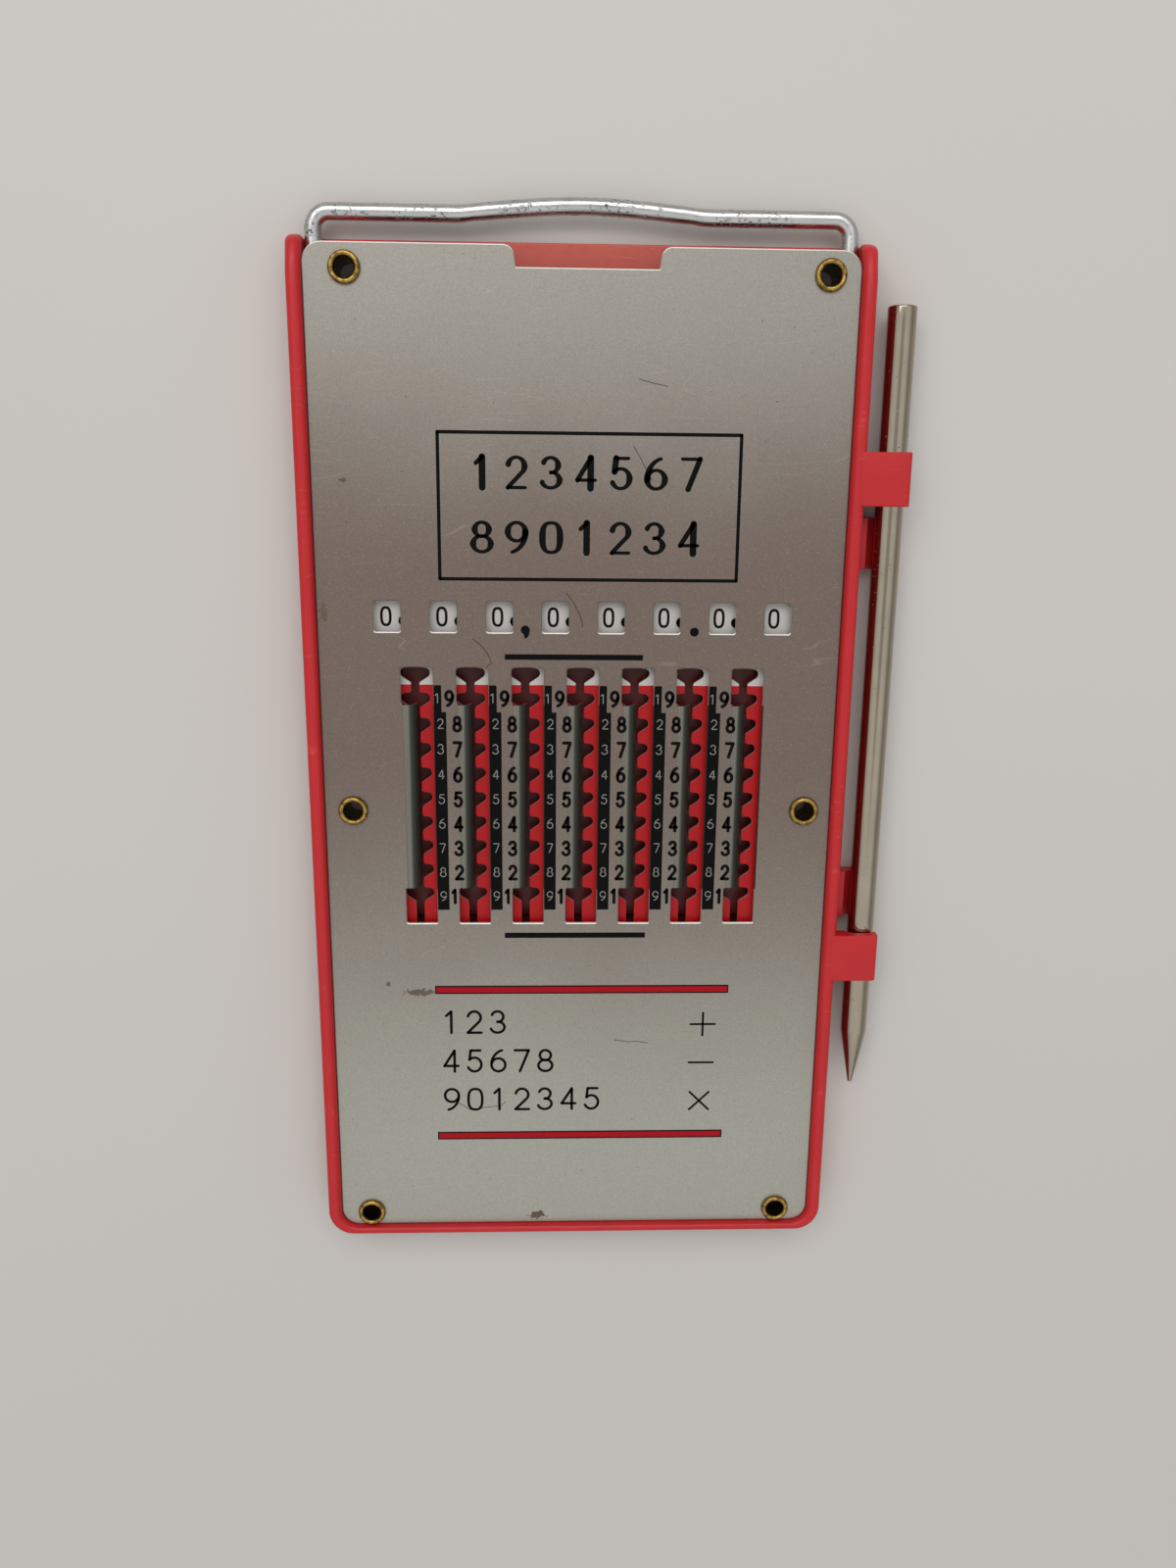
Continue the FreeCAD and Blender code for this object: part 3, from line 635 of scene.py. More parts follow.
@dataclass(frozen=True)
class SilverLacquer:
    """Lacquered sheet metal: grain, painted dark reflection across the middle, scratches, dirt,
    bare edges with painted glint.

    A stain is its place (x, y), its reach (wide, tall) and its strength.
    """

    light: Rgb = (164, 163, 151)
    head: Rgb = (150, 146, 136)
    brown: Rgb = (114, 99, 89)
    dirt: Rgb = (88, 74, 58)
    scored: Rgb = (172, 168, 158)
    flake: Rgb = (200, 196, 186)
    cut: Rgb = (206, 206, 198)
    bare: Rgb = (238, 236, 228)
    painted_bend_shade: Rgb = (114, 116, 104)
    shadow: Rgb = (54, 56, 48)
    stains: tuple[tuple[float, ...], ...] = (
        (-20.6, -28.4, 1.9, 0.55, 0.85), (-5.3, -61.4, 1.3, 0.6, 0.95),
        (-28.1, 36.5, 0.55, 0.3, 0.9), (-24.6, -27.2, 0.35, 0.3, 0.8),
        (-2.9, 20.9, 1.4, 1.0, 0.45), (-31.0, 21.0, 0.5, 1.2, 0.6),
    )

    def material(self) -> bpy.types.Material:
        """Build the material from a painted reflection band, grain, stains, scratches and painted
        shade on the lips.
        """
        nodes = Nodes("silver_lacquer")
        across, up = abs(nodes.axis(0)), nodes.axis(1)
        # Painted reflection: a brown band across the middle of the sheet stands for a dark
        # reflection there, its edges wandering with noise; below it the sheet turns from paler at
        # the foot to greyer at the head.
        fall = up + nodes.noise(30.0) * 14.0
        darkening = fall.span(-46.0, 12.0) * fall.below(32.0, 66.0) * 0.97
        plain = nodes.blend(up.span(-20.0, 40.0), self.light, self.head)
        shown = nodes.blend(darkening, plain, self.brown)
        grain = nodes.noise(0.15).span(0.25, 0.75, 0.88, 1.1)
        shown = nodes.add("ShaderNodeHueSaturation", {"Value": grain, "Color": shown})
        specks = nodes.noise(0.55, 3.0, shift=40.0).span(0.705, 0.74)
        shown = nodes.blend(specks * 0.75, shown, self.dirt)
        for *patch, strength in self.stains:
            shown = nodes.blend(nodes.stain(*patch) * strength, shown, self.dirt)
        fine = nodes.scratches(3.6, 0.9, 11.0, 0.004)
        fine = fine.math("MAXIMUM", nodes.scratches(4.6, -0.55, 23.0, 0.004))
        shown = nodes.blend(fine * 0.22, shown, self.scored)
        flakes = nodes.noise(0.11, 1.0, shift=71.0).span(0.66, 0.74, 0.0, 0.35)
        shown = nodes.blend(flakes, shown, self.flake)
        edges = nodes.blend(nodes.slant(2).below(0.2, 0.8) * 0.8, shown, self.cut)
        # Painted glint: faces that look towards the head take the bare colour, standing for light
        # from that side on the cut edges, and in part for metal worn bare by the stylus.
        edges = nodes.blend(nodes.facing.axis(1).span(0.12, 0.5), edges, self.bare)
        # Painted shade: on the lips, faces that turn sideways take a darker green-grey and then
        # near-black, standing for the shade and dark reflection on the bend.
        lips = nodes.blend(nodes.slant(0).span(0.01, 0.12), shown, self.painted_bend_shade)
        lips = nodes.blend(nodes.slant(0).span(0.08, 0.42), lips, self.shadow)
        at_lips = up.span(-14.3, -14.1) * up.below(9.7, 9.9) * across.below(23.5, 24.0)
        height = nodes.noise(0.14) * 0.3 - fine * 0.35
        return nodes.close({
            "Base Color": nodes.blend(at_lips, edges, lips), "Metallic": 0.55,
            "Roughness": nodes.noise(0.5, 3.0).spread(0.4, 0.5),
            "Normal": nodes.bump(height, 0.012),
        })


@dataclass(frozen=True)
class StripEnamel:
    """Enamel on the strips: white above a line, red below it, bare metal on the cut edges."""

    line: float = 12.06
    blur: float = 0.03
    # The white enamel is greyer than white: in part painted shade of the sheet over the strips.
    white: Rgb = (186, 182, 176)
    red: Rgb = (178, 10, 16)
    deep: Rgb = (162, 9, 14)
    speck: Rgb = (70, 55, 50)
    bare: Rgb = (198, 190, 184)

    def material(self) -> bpy.types.Material:
        """Build the material: two colours with a crisp border, specks and rubbed edges."""
        nodes = Nodes("strip_enamel")
        border = nodes.axis(1) + (nodes.noise(0.8) - 0.5) * 0.08
        above = border.span(self.line - self.blur, self.line + self.blur)
        paint = nodes.blend(nodes.noise(3.0, 3.0), self.red, self.deep)
        paint = nodes.blend(above, paint, self.white)
        specks = nodes.noise(0.35, shift=9.0).span(0.71, 0.75)
        paint = nodes.blend(specks * 0.6, paint, self.speck)
        patches = nodes.noise(0.9, 3.0).span(0.35, 0.6, 0.35, 1.0)
        rubbed = nodes.slant(2).below(0.25, 0.8) * patches
        return nodes.close({
            "Base Color": nodes.blend(rubbed, paint, self.bare), "Metallic": rubbed * 0.8,
            "Roughness": nodes.noise(1.1, 3.0).spread(0.34, 0.5),
            "Specular IOR Level": 0.25, "Normal": nodes.bump(nodes.noise(0.4), 0.01),
        })


@dataclass(frozen=True)
class PlatedSteel:
    """Bright plated steel with rust pits; the share of pits and the gloss set it apart."""

    name: str
    bright: Rgb
    gloss: tuple[float, float]
    pitting: float
    grain: Triple
    rusty: Rgb = (74, 58, 46)

    def material(self) -> bpy.types.Material:
        """Build the material: plating, drawn-out polishing marks and dark pits."""
        nodes = Nodes(self.name)
        dull = tuple(part * 0.86 for part in self.bright)
        tint = nodes.blend(nodes.noise(4.0, 3.0), self.bright, dull)
        pits = nodes.noise(0.42, 3.0, shift=5.0).span(self.pitting, self.pitting + 0.05)
        rust = pits * nodes.noise(5.0, shift=17.0).span(0.4, 0.6)
        polish = nodes.noise(0.35, stretch=self.grain)
        return nodes.close({
            "Base Color": nodes.blend(rust * 0.9, tint, self.rusty),
            "Metallic": rust.span(0.0, 1.0, 1.0, 0.35),
            "Roughness": polish.spread(*self.gloss) + rust * 0.35,
            "Normal": nodes.bump(polish * 0.06 - rust, 0.02),
        })


@dataclass(frozen=True)
class EyeletBrass:
    """Brass that is bright on its crest and brown against the sheet and in the bore."""

    bright: Rgb = (172, 142, 74)
    dull: Rgb = (92, 68, 36)

    def material(self) -> bpy.types.Material:
        """Build the material: the crest is rubbed bright, lower places are tarnished."""
        nodes = Nodes("eyelet_brass")
        low = nodes.axis(2).below(5.0, 5.4) * 0.85
        darkening = low.math("MAXIMUM", nodes.noise(0.6, 4.0).span(0.42, 0.62, 0.0, 0.8))
        return nodes.close({
            "Base Color": nodes.blend(darkening, self.bright, self.dull), "Metallic": 1.0,
            "Roughness": nodes.noise(0.5, 3.0, shift=3.0).spread(0.24, 0.42),
            "Normal": nodes.bump(nodes.noise(0.3, 3.0), 0.015),
        })


class Ink(Enum):
    """The printing inks on sheet and strips."""

    BLACK = (9, 9, 8)
    WHITE = (146, 143, 136)
    RED = (160, 20, 30)

    def material(self) -> bpy.types.Material:
        """Build the ink's material, a little uneven and worn thin in specks."""
        nodes = Nodes(f"ink_{self.name.lower()}")
        faded = tuple(part * 0.88 + 5 for part in self.value)
        worn = nodes.noise(0.5, 4.0).span(0.45, 0.7)
        return nodes.close({
            "Base Color": nodes.blend(worn, self.value, faded),
            "Roughness": nodes.noise(0.8).spread(0.42, 0.6), "Specular IOR Level": 0.06,
            "Normal": nodes.bump(nodes.noise(0.2), 0.004),
        })


class Slot(Enum):
    """Material slots that the record names."""

    RED = "red_plastic"
    SHEET = "front_sheet"
    ENAMEL = "slider_enamel"
    STEEL = "bail_steel"
    BRASS = "eyelet_brass"
    NICKEL = "stylus_nickel"


class Palette:
    """Every material of the object, built once."""

    def __init__(self) -> None:
        """Build the materials; the three steels differ in tint, gloss, pits and grain."""
        self.red = MouldedRed().material()
        self.sheet = SilverLacquer().material()
        self.enamel = StripEnamel().material()
        self.wire, self.inner, self.nickel = (PlatedSteel(*look).material() for look in (
            ("bail_plating", (204, 205, 201), (0.22, 0.36), 0.555, (6, 1, 1)),
            ("inner_steel", (150, 148, 144), (0.35, 0.5), 0.62, (6, 1, 1)),
            ("stylus_plating", (172, 161, 142), (0.06, 0.13), 0.66, (1, 30, 1)),
        ))
        self.brass = EyeletBrass().material()
        self.inks = {ink: ink.material() for ink in Ink}


def make_piece(name: str, shape: Shape, material: bpy.types.Material, body: str, slot: Slot,
               stands_for: Sequence[str] = (), crease: float = 40.0) -> bpy.types.Object:
    """Make an object of a shape, dress it and let it ride on its body.

    Args:
        name: The piece's name.
        shape: Its surface in millimetres.
        material: Its finish.
        body: The moving body that carries it.
        slot: Not used.
        stands_for: The CAD nodes that it replaces.
        crease: Edges that turn more than this many degrees stay sharp.

    Returns:
        The new object.
    """
    mesh = bpy.data.meshes.new(name)
    mesh.from_pydata((shape.points * MM).tolist(), [], shape.faces)
    mesh.polygons.foreach_set("use_smooth", [not mark for mark in shape.flat])
    work = bmesh.new()
    work.from_mesh(mesh)
    bmesh.ops.remove_doubles(work, verts=work.verts, dist=1e-7)
    bmesh.ops.recalc_face_normals(work, faces=work.faces)
    smooth = [face.smooth for face in work.faces]
    work.to_mesh(mesh)
    work.free()
    # The sharp edges clear the faces' own marks, which are set once more.
    mesh.set_sharp_from_angle(angle=math.radians(crease))
    mesh.polygons.foreach_set("use_smooth", smooth)
    mesh.materials.append(material)
    piece = bpy.data.objects.new(name, mesh)
    bpy.context.scene.collection.objects.link(piece)
    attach(piece, body)
    if stands_for:
        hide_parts(*stands_for)
    LOG.info("%s: %d faces on %s", name, len(mesh.polygons), body)
    return piece


def print_ink(name: str, shapes: Sequence[Shape], material: bpy.types.Material, body: str,
              slot: Slot) -> None:
    """Make one piece of printing, facing out of the front, and give it the thickness of ink."""
    piece = make_piece(name, Shape.gather(shapes), material, body, slot)
    work = bmesh.new()
    work.from_mesh(piece.data)
    bmesh.ops.reverse_faces(work, faces=[face for face in work.faces if face.normal.z < 0])
    work.to_mesh(piece.data)
    work.free()
    coat = piece.modifiers.new("coat", "SOLIDIFY")
    coat.thickness = INK_THICKNESS * MM
    coat.offset = -1.0


# Sub-assemblies


@dataclass
class Tray:
    """The moulded tray: floor, beaded rail, ribs inside and four hooks beside it."""

    half: float = 33.7
    top: float = 63.6
    head: float = 63.4
    height: float = 6.0
    floor: float = 1.2
    sunk: float = 0.1
    back_round: float = 0.8
    rail: float = 1.75
    nose: float = 1.2
    nose_power: float = 0.72
    droop: float = 3.0
    tip_level: float = 2.5
    rim_wall: float = 1.05
    corner: float = 3.3
    recess_corner: float = 2.3
    bore: float = 1.35
    seat: float = 2.05
    seat_depth: float = 0.5
    sheet_seat: float = 4.5
    pitch: float = 6.8
    rib_inner: float = 26.8
    rib_outer: float = 29.9
    inner_top: float = 55.2
    inner_low: float = -25.5
    boss_inner: float = 25.0
    stylus_x: float = 37.4
    stylus_z: float = 3.0
    channel: float = 1.8
    hook_root: float = 33.0
    hook_end: float = 39.1
    hook_corner: float = 0.6
    hook_length: float = 6.3

    def rail_shape(self) -> Shape:
        """Carry the rail's section round the foot from one rounded end to the other.

        The outer and the inner line run side by side. Across the rail the bead is half an
        ellipse as high as half the rail's width. At each end the plan closes in a squared round
        with powers of sine and cosine, and the height falls away in a quarter ellipse.
        """
        bead = self.rail / 2
        end = self.top - self.nose
        turn = np.radians(np.linspace(90, 0, 13))[:-1]
        reach = bead * np.cos(turn) ** self.nose_power
        rise = end + self.nose * np.sin(turn) ** self.nose_power
        bend = np.radians(np.linspace(180, 270, 17))
        side = np.linspace(0, 1, 40)[:-1, None]
        lines = []
        for half, foot, corner, sense in (
            (self.half, -self.top, self.corner, -1),
            (self.half - self.rail, -self.top + self.rim_wall, self.recess_corner, 1),
        ):
            cap = np.stack([bead - self.half + sense * reach, rise], axis=1)
            round_foot = np.stack([-half + corner + corner * np.cos(bend),
                                   foot + corner + corner * np.sin(bend)], axis=1)
            down = np.array([-half, end]) * (1 - side) + round_foot[0] * side
            line = np.concatenate([cap, down, round_foot])
            lines.append(np.concatenate([line, mirrored(line)]))
        outer, inner = lines
        across = inner - outer
        width = np.linalg.norm(across, axis=1)
        side_end, foot_start = len(turn) + len(side), len(turn) + len(side) + len(bend) - 1
        last = len(width) - 1
        places = [len(turn), side_end, foot_start]
        full = np.interp(np.arange(len(width)), places + [last - place for place in places[::-1]],
                         [self.rail, self.rail, self.rim_wall, self.rim_wall, self.rail, self.rail])
        shoulder = self.height - full / 2
        arch = np.linspace(0, math.pi, 25)
        share = np.concatenate([[0.0], (1 - np.cos(arch)) / 2, [1.0]])
        lift = np.concatenate([[0.0], np.sin(arch), [0.0]])
        base = np.concatenate([[0.0], np.ones(len(arch)), [0.0]])
        plan = outer[:, None] + across[:, None] * share[None, :, None]
        start = self.floor - 2 * self.sunk
        bulge = np.minimum(width, full)[:, None] / 2 * lift
        level = start + (shoulder[:, None] - start) * base + bulge
        past = np.clip((plan[..., 1] - self.top + self.droop) / self.droop, 0.0, 1.0)
        level -= (self.height - self.tip_level) * (1 - np.sqrt(1 - past * past)) * base
        return lofted(np.concatenate([plan, level[..., None]], axis=-1))

    def floor_shape(self, eyelets: Sequence[Place]) -> Shape:
        """Build the floor with its rounded back edge and the stepped bores of the eyelets."""
        tip = self.rail / 2
        outline = rounded([
            (-self.half, -self.top, self.corner), (self.half, -self.top, self.corner),
            (self.half, self.head, tip), (-self.half, self.head, tip),
        ], 12)
        edge = rim(self.floor, 0.0, 0.2, self.back_round, 5)
        step = self.seat - self.bore
        seat = np.array([[0.08, self.floor], [0, self.floor - 0.08], [0, self.seat_depth],
                         [step, self.seat_depth], [step, 0.1], [step + 0.1, 0]])
        return pierced(outline, edge, [(circle(x, y, self.bore), seat) for x, y in eyelets])

    def boss(self, eyelet: Place) -> Shape:
        """Build a boss round an eyelet's bore under one of the sheet's corners."""
        under = self.floor - self.sunk
        low, high = (57.0, 62.4) if eyelet[1] > 0 else (-62.55, -58.6)
        sense = math.copysign(1, eyelet[0])
        left, right = sorted((sense * self.boss_inner, sense * self.rib_outer))
        wall = np.array([[0, self.sheet_seat], [0, under]])
        edge = rim(self.sheet_seat, under, 0.1, 0.02)
        outline = box_outline(left, right, low, high, 0.3)
        return pierced(outline, edge, [(circle(*eyelet, self.bore), wall)])

    def guides(self) -> list[Shape]:
        """Build the blocks on the floor, each (left, right, low, high, top).

        They are the stop wall, a rib in two lengths on each side, a track below each strip,
        and below each slot a land and the two guides past its ends.
        """
        blocks = [(-self.rib_outer, self.rib_outer, 55.1, 56.3, self.sheet_seat)]
        for side in (-1, 1):
            left, right = sorted((side * self.rib_inner, side * self.rib_outer))
            blocks += [(left, right, self.inner_low, -5.42, self.sheet_seat),
                       (left, right, -2.02, self.inner_top, self.sheet_seat)]
        for x in self.pitch * (np.arange(8) - 3.5):
            blocks.append((x - 1.5, x + 1.5, -58.3, self.inner_top, 3.15))
        for x in self.pitch * (np.arange(7) - 3):
            blocks += [(x - 1.9, x + 1.9, -18.77, self.inner_top, 1.8),
                       (x - 0.42, x + 0.42, 15.89, self.inner_top, self.sheet_seat),
                       (x - 0.42, x + 0.42, self.inner_low, -20.27, self.sheet_seat)]
        under = self.floor - self.sunk
        return [
            pierced(box_outline(left, right, low, high, 0.2), rim(top, under, 0.12, 0.02))
            for left, right, low, high, top in blocks
        ]

    def hook(self, centre: float, front: bool) -> Shape:
        """Carry a hook's section along the stylus; a back hook is the same section upside down.

        The section reaches out of the rail, thins to the channel's circle round the stylus,
        and ends in a lip with one rounded corner.
        """
        rise = self.height - self.stylus_z
        root, lip = 0.7, 1.3
        left = math.degrees(math.asin(root / self.channel))
        right = math.degrees(math.asin(lip / self.channel))
        channel = (self.channel, self.channel)
        section = np.concatenate([
            [[self.hook_root, root]],
            arc(self.stylus_x - 0.65, 0.0, *channel, 180 - left, 90, 12),
            arc(self.stylus_x, 0.0, *channel, 90, right, 8), [[self.hook_end, lip]],
            arc(self.hook_end - self.hook_corner, rise - self.hook_corner,
                self.hook_corner, self.hook_corner, 0, 90, 8), [[self.hook_root, rise]],
        ])
        outline = section if front else (section * np.array([1, -1]))[::-1]
        edge = rim(centre + self.hook_length / 2, centre - self.hook_length / 2, 0.16, 0.16)
        return pierced(outline, edge).reordered((0, 2, 1)).moved(z=self.stylus_z)

    def build(self, palette: Palette, eyelets: Sequence[Place]) -> None:
        """Make the tray's pieces and dress them in the red moulding compound."""
        bosses = [self.boss((x, y)) for x, y in eyelets if abs(y) > 20]
        shell = [self.floor_shape(eyelets), self.rail_shape()] + self.guides() + bosses
        make_piece("tray_shell", Shape.gather(shell), palette.red, "housing", Slot.RED, ("case",))
        hooks = [self.hook(centre, front) for centre, front in
                 ((37.2, True), (29.6, False), (-15.85, False), (-23.45, True))]
        make_piece("stylus_hooks", Shape.gather(hooks), palette.red, "housing", Slot.RED)


@dataclass
class FrontSheet:
    """The pierced sheet front with its bent slot lips and its printing."""

    half: float = 31.9
    tall: float = 62.5
    under: float = 4.5
    face: float = 5.0
    corner: float = 2.3
    notch: Triple = (0.45, 8.2, 2.4)
    shift: float = 0.325
    pitch: float = 6.8
    window_low: float = 18.70
    window_high: float = 22.42
    window_half: float = 1.63
    slot_half: float = 1.98
    slot_top: float = 14.39
    slot_bottom: float = -18.77
    lip_top: float = 9.68
    lip_bottom: float = -14.06
    ledge: float = 0.6
    lip_low: float = 3.1
    bend: float = 1.3
    overlap: float = 0.36
    hole: float = 1.35
    edge: float = 0.14
    ink: float = 5.009
    thin: float = 0.37
    fine: float = 0.29
    bold: float = 0.41
    scale_step: float = 3.21
    red_rules: tuple[Triple, ...] = ((-18.64, 19.88, -28.02), (-18.68, 19.76, -49.18))

    def columns(self, count: int) -> Array:
        """Return the middles of seven slots or eight windows."""
        return self.shift + self.pitch * (np.arange(count) - (count - 1) / 2)

    def outline(self) -> Array:
        """Return the sheet's outline with the thumb notch (middle, half, depth) in its head."""
        middle, half, depth = self.notch
        mouth, floor = half + 0.3, self.tall - depth
        return rounded([
            (self.half, -self.tall, self.corner), (self.half, self.tall, self.corner),
            (middle + mouth, self.tall, 1.3), (middle + half, floor, 0.12),
            (middle - half, floor, 0.12), (middle - mouth, self.tall, 1.3),
            (-self.half, self.tall, self.corner), (-self.half, -self.tall, self.corner),
        ], 10)

    def slot_outline(self, centre: float) -> Array:
        """Return a slot's outline: wide mouths at both ends and a ledge between them."""
        left, right = centre - self.slot_half, centre + self.slot_half
        ledge = left + self.ledge
        return rounded([
            (left, self.slot_bottom, 0.25), (right, self.slot_bottom, 0.12),
            (right, self.slot_top, 0.42), (left, self.slot_top, 0.3),
            (left, self.lip_top, 0.36), (ledge, self.lip_top, 0.2),
            (ledge, self.lip_bottom, 0.2), (left, self.lip_bottom, 0.36),
        ], 7)

    def lip(self, centre: float) -> Shape:
        """Carry the bent lip's section along the slot: level, a quarter bend, straight down."""
        start = centre - self.slot_half + self.ledge
        thick = self.face - self.under
        level = self.face - self.bend
        buried = start - self.overlap - 0.12
        section = np.concatenate([
            [[buried, self.face - 0.06], [start - self.overlap, self.face + 0.002]],
            arc(start, level, self.bend, self.bend, 90, 0, 12),
            arc(start + self.bend - thick / 2, self.lip_low + 0.12, thick / 2, 0.12, 0, -180, 8),
            arc(start, level, self.bend - thick, self.bend - thick, 0, 90, 12),
            [[buried, self.under + 0.03]],
        ])[::-1]
        edge = rim(self.lip_top, self.lip_bottom, 0.06, 0.06)
        return pierced(section, edge).reordered((0, 2, 1))

    def metal(self, eyelets: Sequence[Place]) -> Shape:
        """Build the pierced sheet and its seven lips."""
        cut = rim(self.face, self.under, self.edge, self.edge)
        openings = [self.slot_outline(centre) for centre in self.columns(7)]
        openings += [
            box_outline(centre - self.window_half, centre + self.window_half,
                        self.window_low, self.window_high, 0.3)
            for centre in self.columns(8)
        ]
        openings += [circle(x, y, self.hole) for x, y in eyelets]
        sheet = pierced(self.outline(), cut, [(opening, cut) for opening in openings])
        return Shape.gather([sheet] + [self.lip(centre) for centre in self.columns(7)])

    def line(self, *spots: Place, width: float) -> Shape:
        """Print a line through the given places."""
        return stroke(straight(*spots), width, self.ink)

    def bar(self, left: float, right: float, y: float, half: float, radius: float,
            lift: float = 0.0) -> Shape:
        """Print a level bar with rounded corners."""
        return filled(box_outline(left, right, y - half, y + half, radius, 4), self.ink + lift)

    def title(self) -> list[Shape]:
        """Print the title frame with two rows of plain numerals in it."""
        left, right, low, high = -16.98, 18.77, 25.1, 42.05
        corners = [(left, low), (right, low), (right, high), (left, high)]
        sides = zip(corners, corners[1:] + corners[:1])
        marks = [self.line(*ends, width=self.bold) for ends in sides]
        for figures, y in ((range(1, 8), 37.55), ((8, 9, 0, 1, 2, 3, 4), 30.05)):
            for figure, x in zip(figures, np.linspace(-11.9, 12.9, 7)):
                marks += figure_at(figure, (x, y), (2.9, 4.26), 0.8, self.ink, 0.5)
        return marks

    def rows(self) -> list[Shape]:
        """Print three rows of plain numerals below the slots, then plus, minus and times.

        A sign is its middle (x, y), its arm's length, and its lines in shares of that length.
        """
        marks = []
        for figures, y in (((1, 2, 3), -32.6), (range(4, 9), -38.2), ((9, *range(6)), -43.8)):
            for place, figure in enumerate(figures):
                middle = (-16.7 + 3.12 * place, y)
                marks += figure_at(figure, middle, (2.2, 3.4), self.thin, self.ink)
        level = (-1, 0, 1, 0)
        signs = (
            (16.66, -33.05, 1.62, (level, (0, -1, 0, 1))),
            (16.58, -38.6, 1.62, (level,)),
            (16.5, -44.24, 1.3, ((-1, -1, 1, 1), (-1, 1, 1, -1))),
        )
        return marks + [
            self.line((x + left * arm, y + low * arm), (x + right * arm, y + high * arm),
                      width=self.fine)
            for x, y, arm, lines in signs
            for left, low, right, high in lines
        ]

    def comma(self, x: float, y: float) -> Shape:
        """Print a comma: a ball whose right side runs down into a curved tail."""
        ball = arc(x, y, 0.55, 0.55, -20, 250, 24)
        tail = arc(x - 0.1, y - 0.188, 0.617, 0.86, -90, 0, 10)[:-1]
        return filled(np.concatenate([ball, tail]), self.ink)

    def hairs(self) -> list[Shape]:
        """Lay a few fine dark hairlines of wear on the sheet."""
        paths = (
            ((6.54, 48.17), (8.22, 47.76), (9.92, 47.42)),
            ((-13.09, 17.87), (-12.24, 17.18), (-11.42, 16.23), (-11.07, 15.39),
             (-10.89, 14.91), (-11.44, 14.6)),
            ((6.04, 40.72), (7.04, 39.06), (7.88, 37.5), (8.29, 36.83)),
            ((4.89, -35.24), (6.66, -35.54), (7.97, -35.47), (9.37, -35.7)),
            ((-1.77, 23.53), (-0.82, 22.24), (-0.09, 20.83), (0.28, 19.41)),
            ((-15.7, -44.41), (-14.27, -45.29), (-12.29, -45.02), (-10.06, -44.74),
             (-9.53, -44.17)),
        )
        return [stroke(straight(*path), 0.06, self.ink + 0.012) for path in paths]

    def rules(self) -> list[Shape]:
        """Print the two short heavy rules, the dot, the comma and the red rules' black frames."""
        marks = [self.bar(-9.27, 7.67, 15.72, 0.34, 0.05), self.bar(-9.49, 8.7, -20.45, 0.36, 0.05),
                 self.bar(13.34, 14.44, 18.9, 0.55, 0.54), self.comma(-6.75, 19.02)]
        return marks + [self.bar(left, right, y, 0.58, 0.04) for left, right, y in self.red_rules]

    def strips(self) -> list[Shape]:
        """Print the black strip on the right of the first six slots."""
        low, shoulder, high = -16.95, 8.85, 12.2
        wide, narrow = 1.48, 0.92
        return [
            filled(rounded([
                (x, low, 0.05), (x + wide, low, 0.05), (x + wide, shoulder, 0.08),
                (x + narrow, shoulder, 0.05), (x + narrow, high, 0.12), (x, high, 0.12),
            ], 4), self.ink)
            for x in self.columns(7)[:6] + self.slot_half + 0.08
        ]

    def laid(self, line: Shape, centre: float) -> Shape:
        """Lower ink onto a slot's bend, a circle of radius r: by r - sqrt(r * r - x * x)."""
        start = centre - self.slot_half + self.ledge
        past = np.clip(line.points[:, 0] - start, 0.0, self.bend * 0.9)
        drop = self.bend - np.sqrt(self.bend * self.bend - past * past)
        return Shape(line.points - drop[:, None] * np.array([0, 0, 1]), line.faces, line.flat)

    def scales(self) -> tuple[list[Shape], list[Shape]]:
        """Print the scales beside the slots.

        Returns:
            The small pale numerals on the black strips and the bold dark ones on the sheet.
        """
        pale, dark = [], []
        for number, centre in enumerate(self.columns(7)):
            for step in range(9):
                fall = self.scale_step * step
                if number < 6:
                    x = centre + self.slot_half + (0.5 if step == 0 else 0.82)
                    pale += figure_at(step + 1, (x, 10.6 - fall), (0.8, 1.28), 0.1, self.ink + 0.01)
                if number > 0:
                    x = centre - self.slot_half + {0: -0.87, 8: -0.6}.get(step, 0.05)
                    middle = (x, 10.55 - fall)
                    lines = figure_at(9 - step, middle, (1.24, 2.14), self.bold, self.ink)
                    dark += [self.laid(line, centre) for line in lines]
        return pale, dark

    def build(self, palette: Palette, eyelets: Sequence[Place]) -> None:
        """Make the sheet and print it."""
        make_piece("front_metal", self.metal(eyelets), palette.sheet, "housing", Slot.SHEET,
                   ("front_plate",))
        pale, dark = self.scales()
        black = self.title() + self.rows() + self.rules() + self.strips() + dark + self.hairs()
        reds = [self.bar(left + 0.18, right - 0.18, y, 0.39, 0.03, 0.01)
                for left, right, y in self.red_rules]
        for ink, marks in ((Ink.BLACK, black), (Ink.WHITE, pale), (Ink.RED, reds)):
            name = f"print_{ink.name.lower()}"
            print_ink(name, marks, palette.inks[ink], "housing", Slot.SHEET)


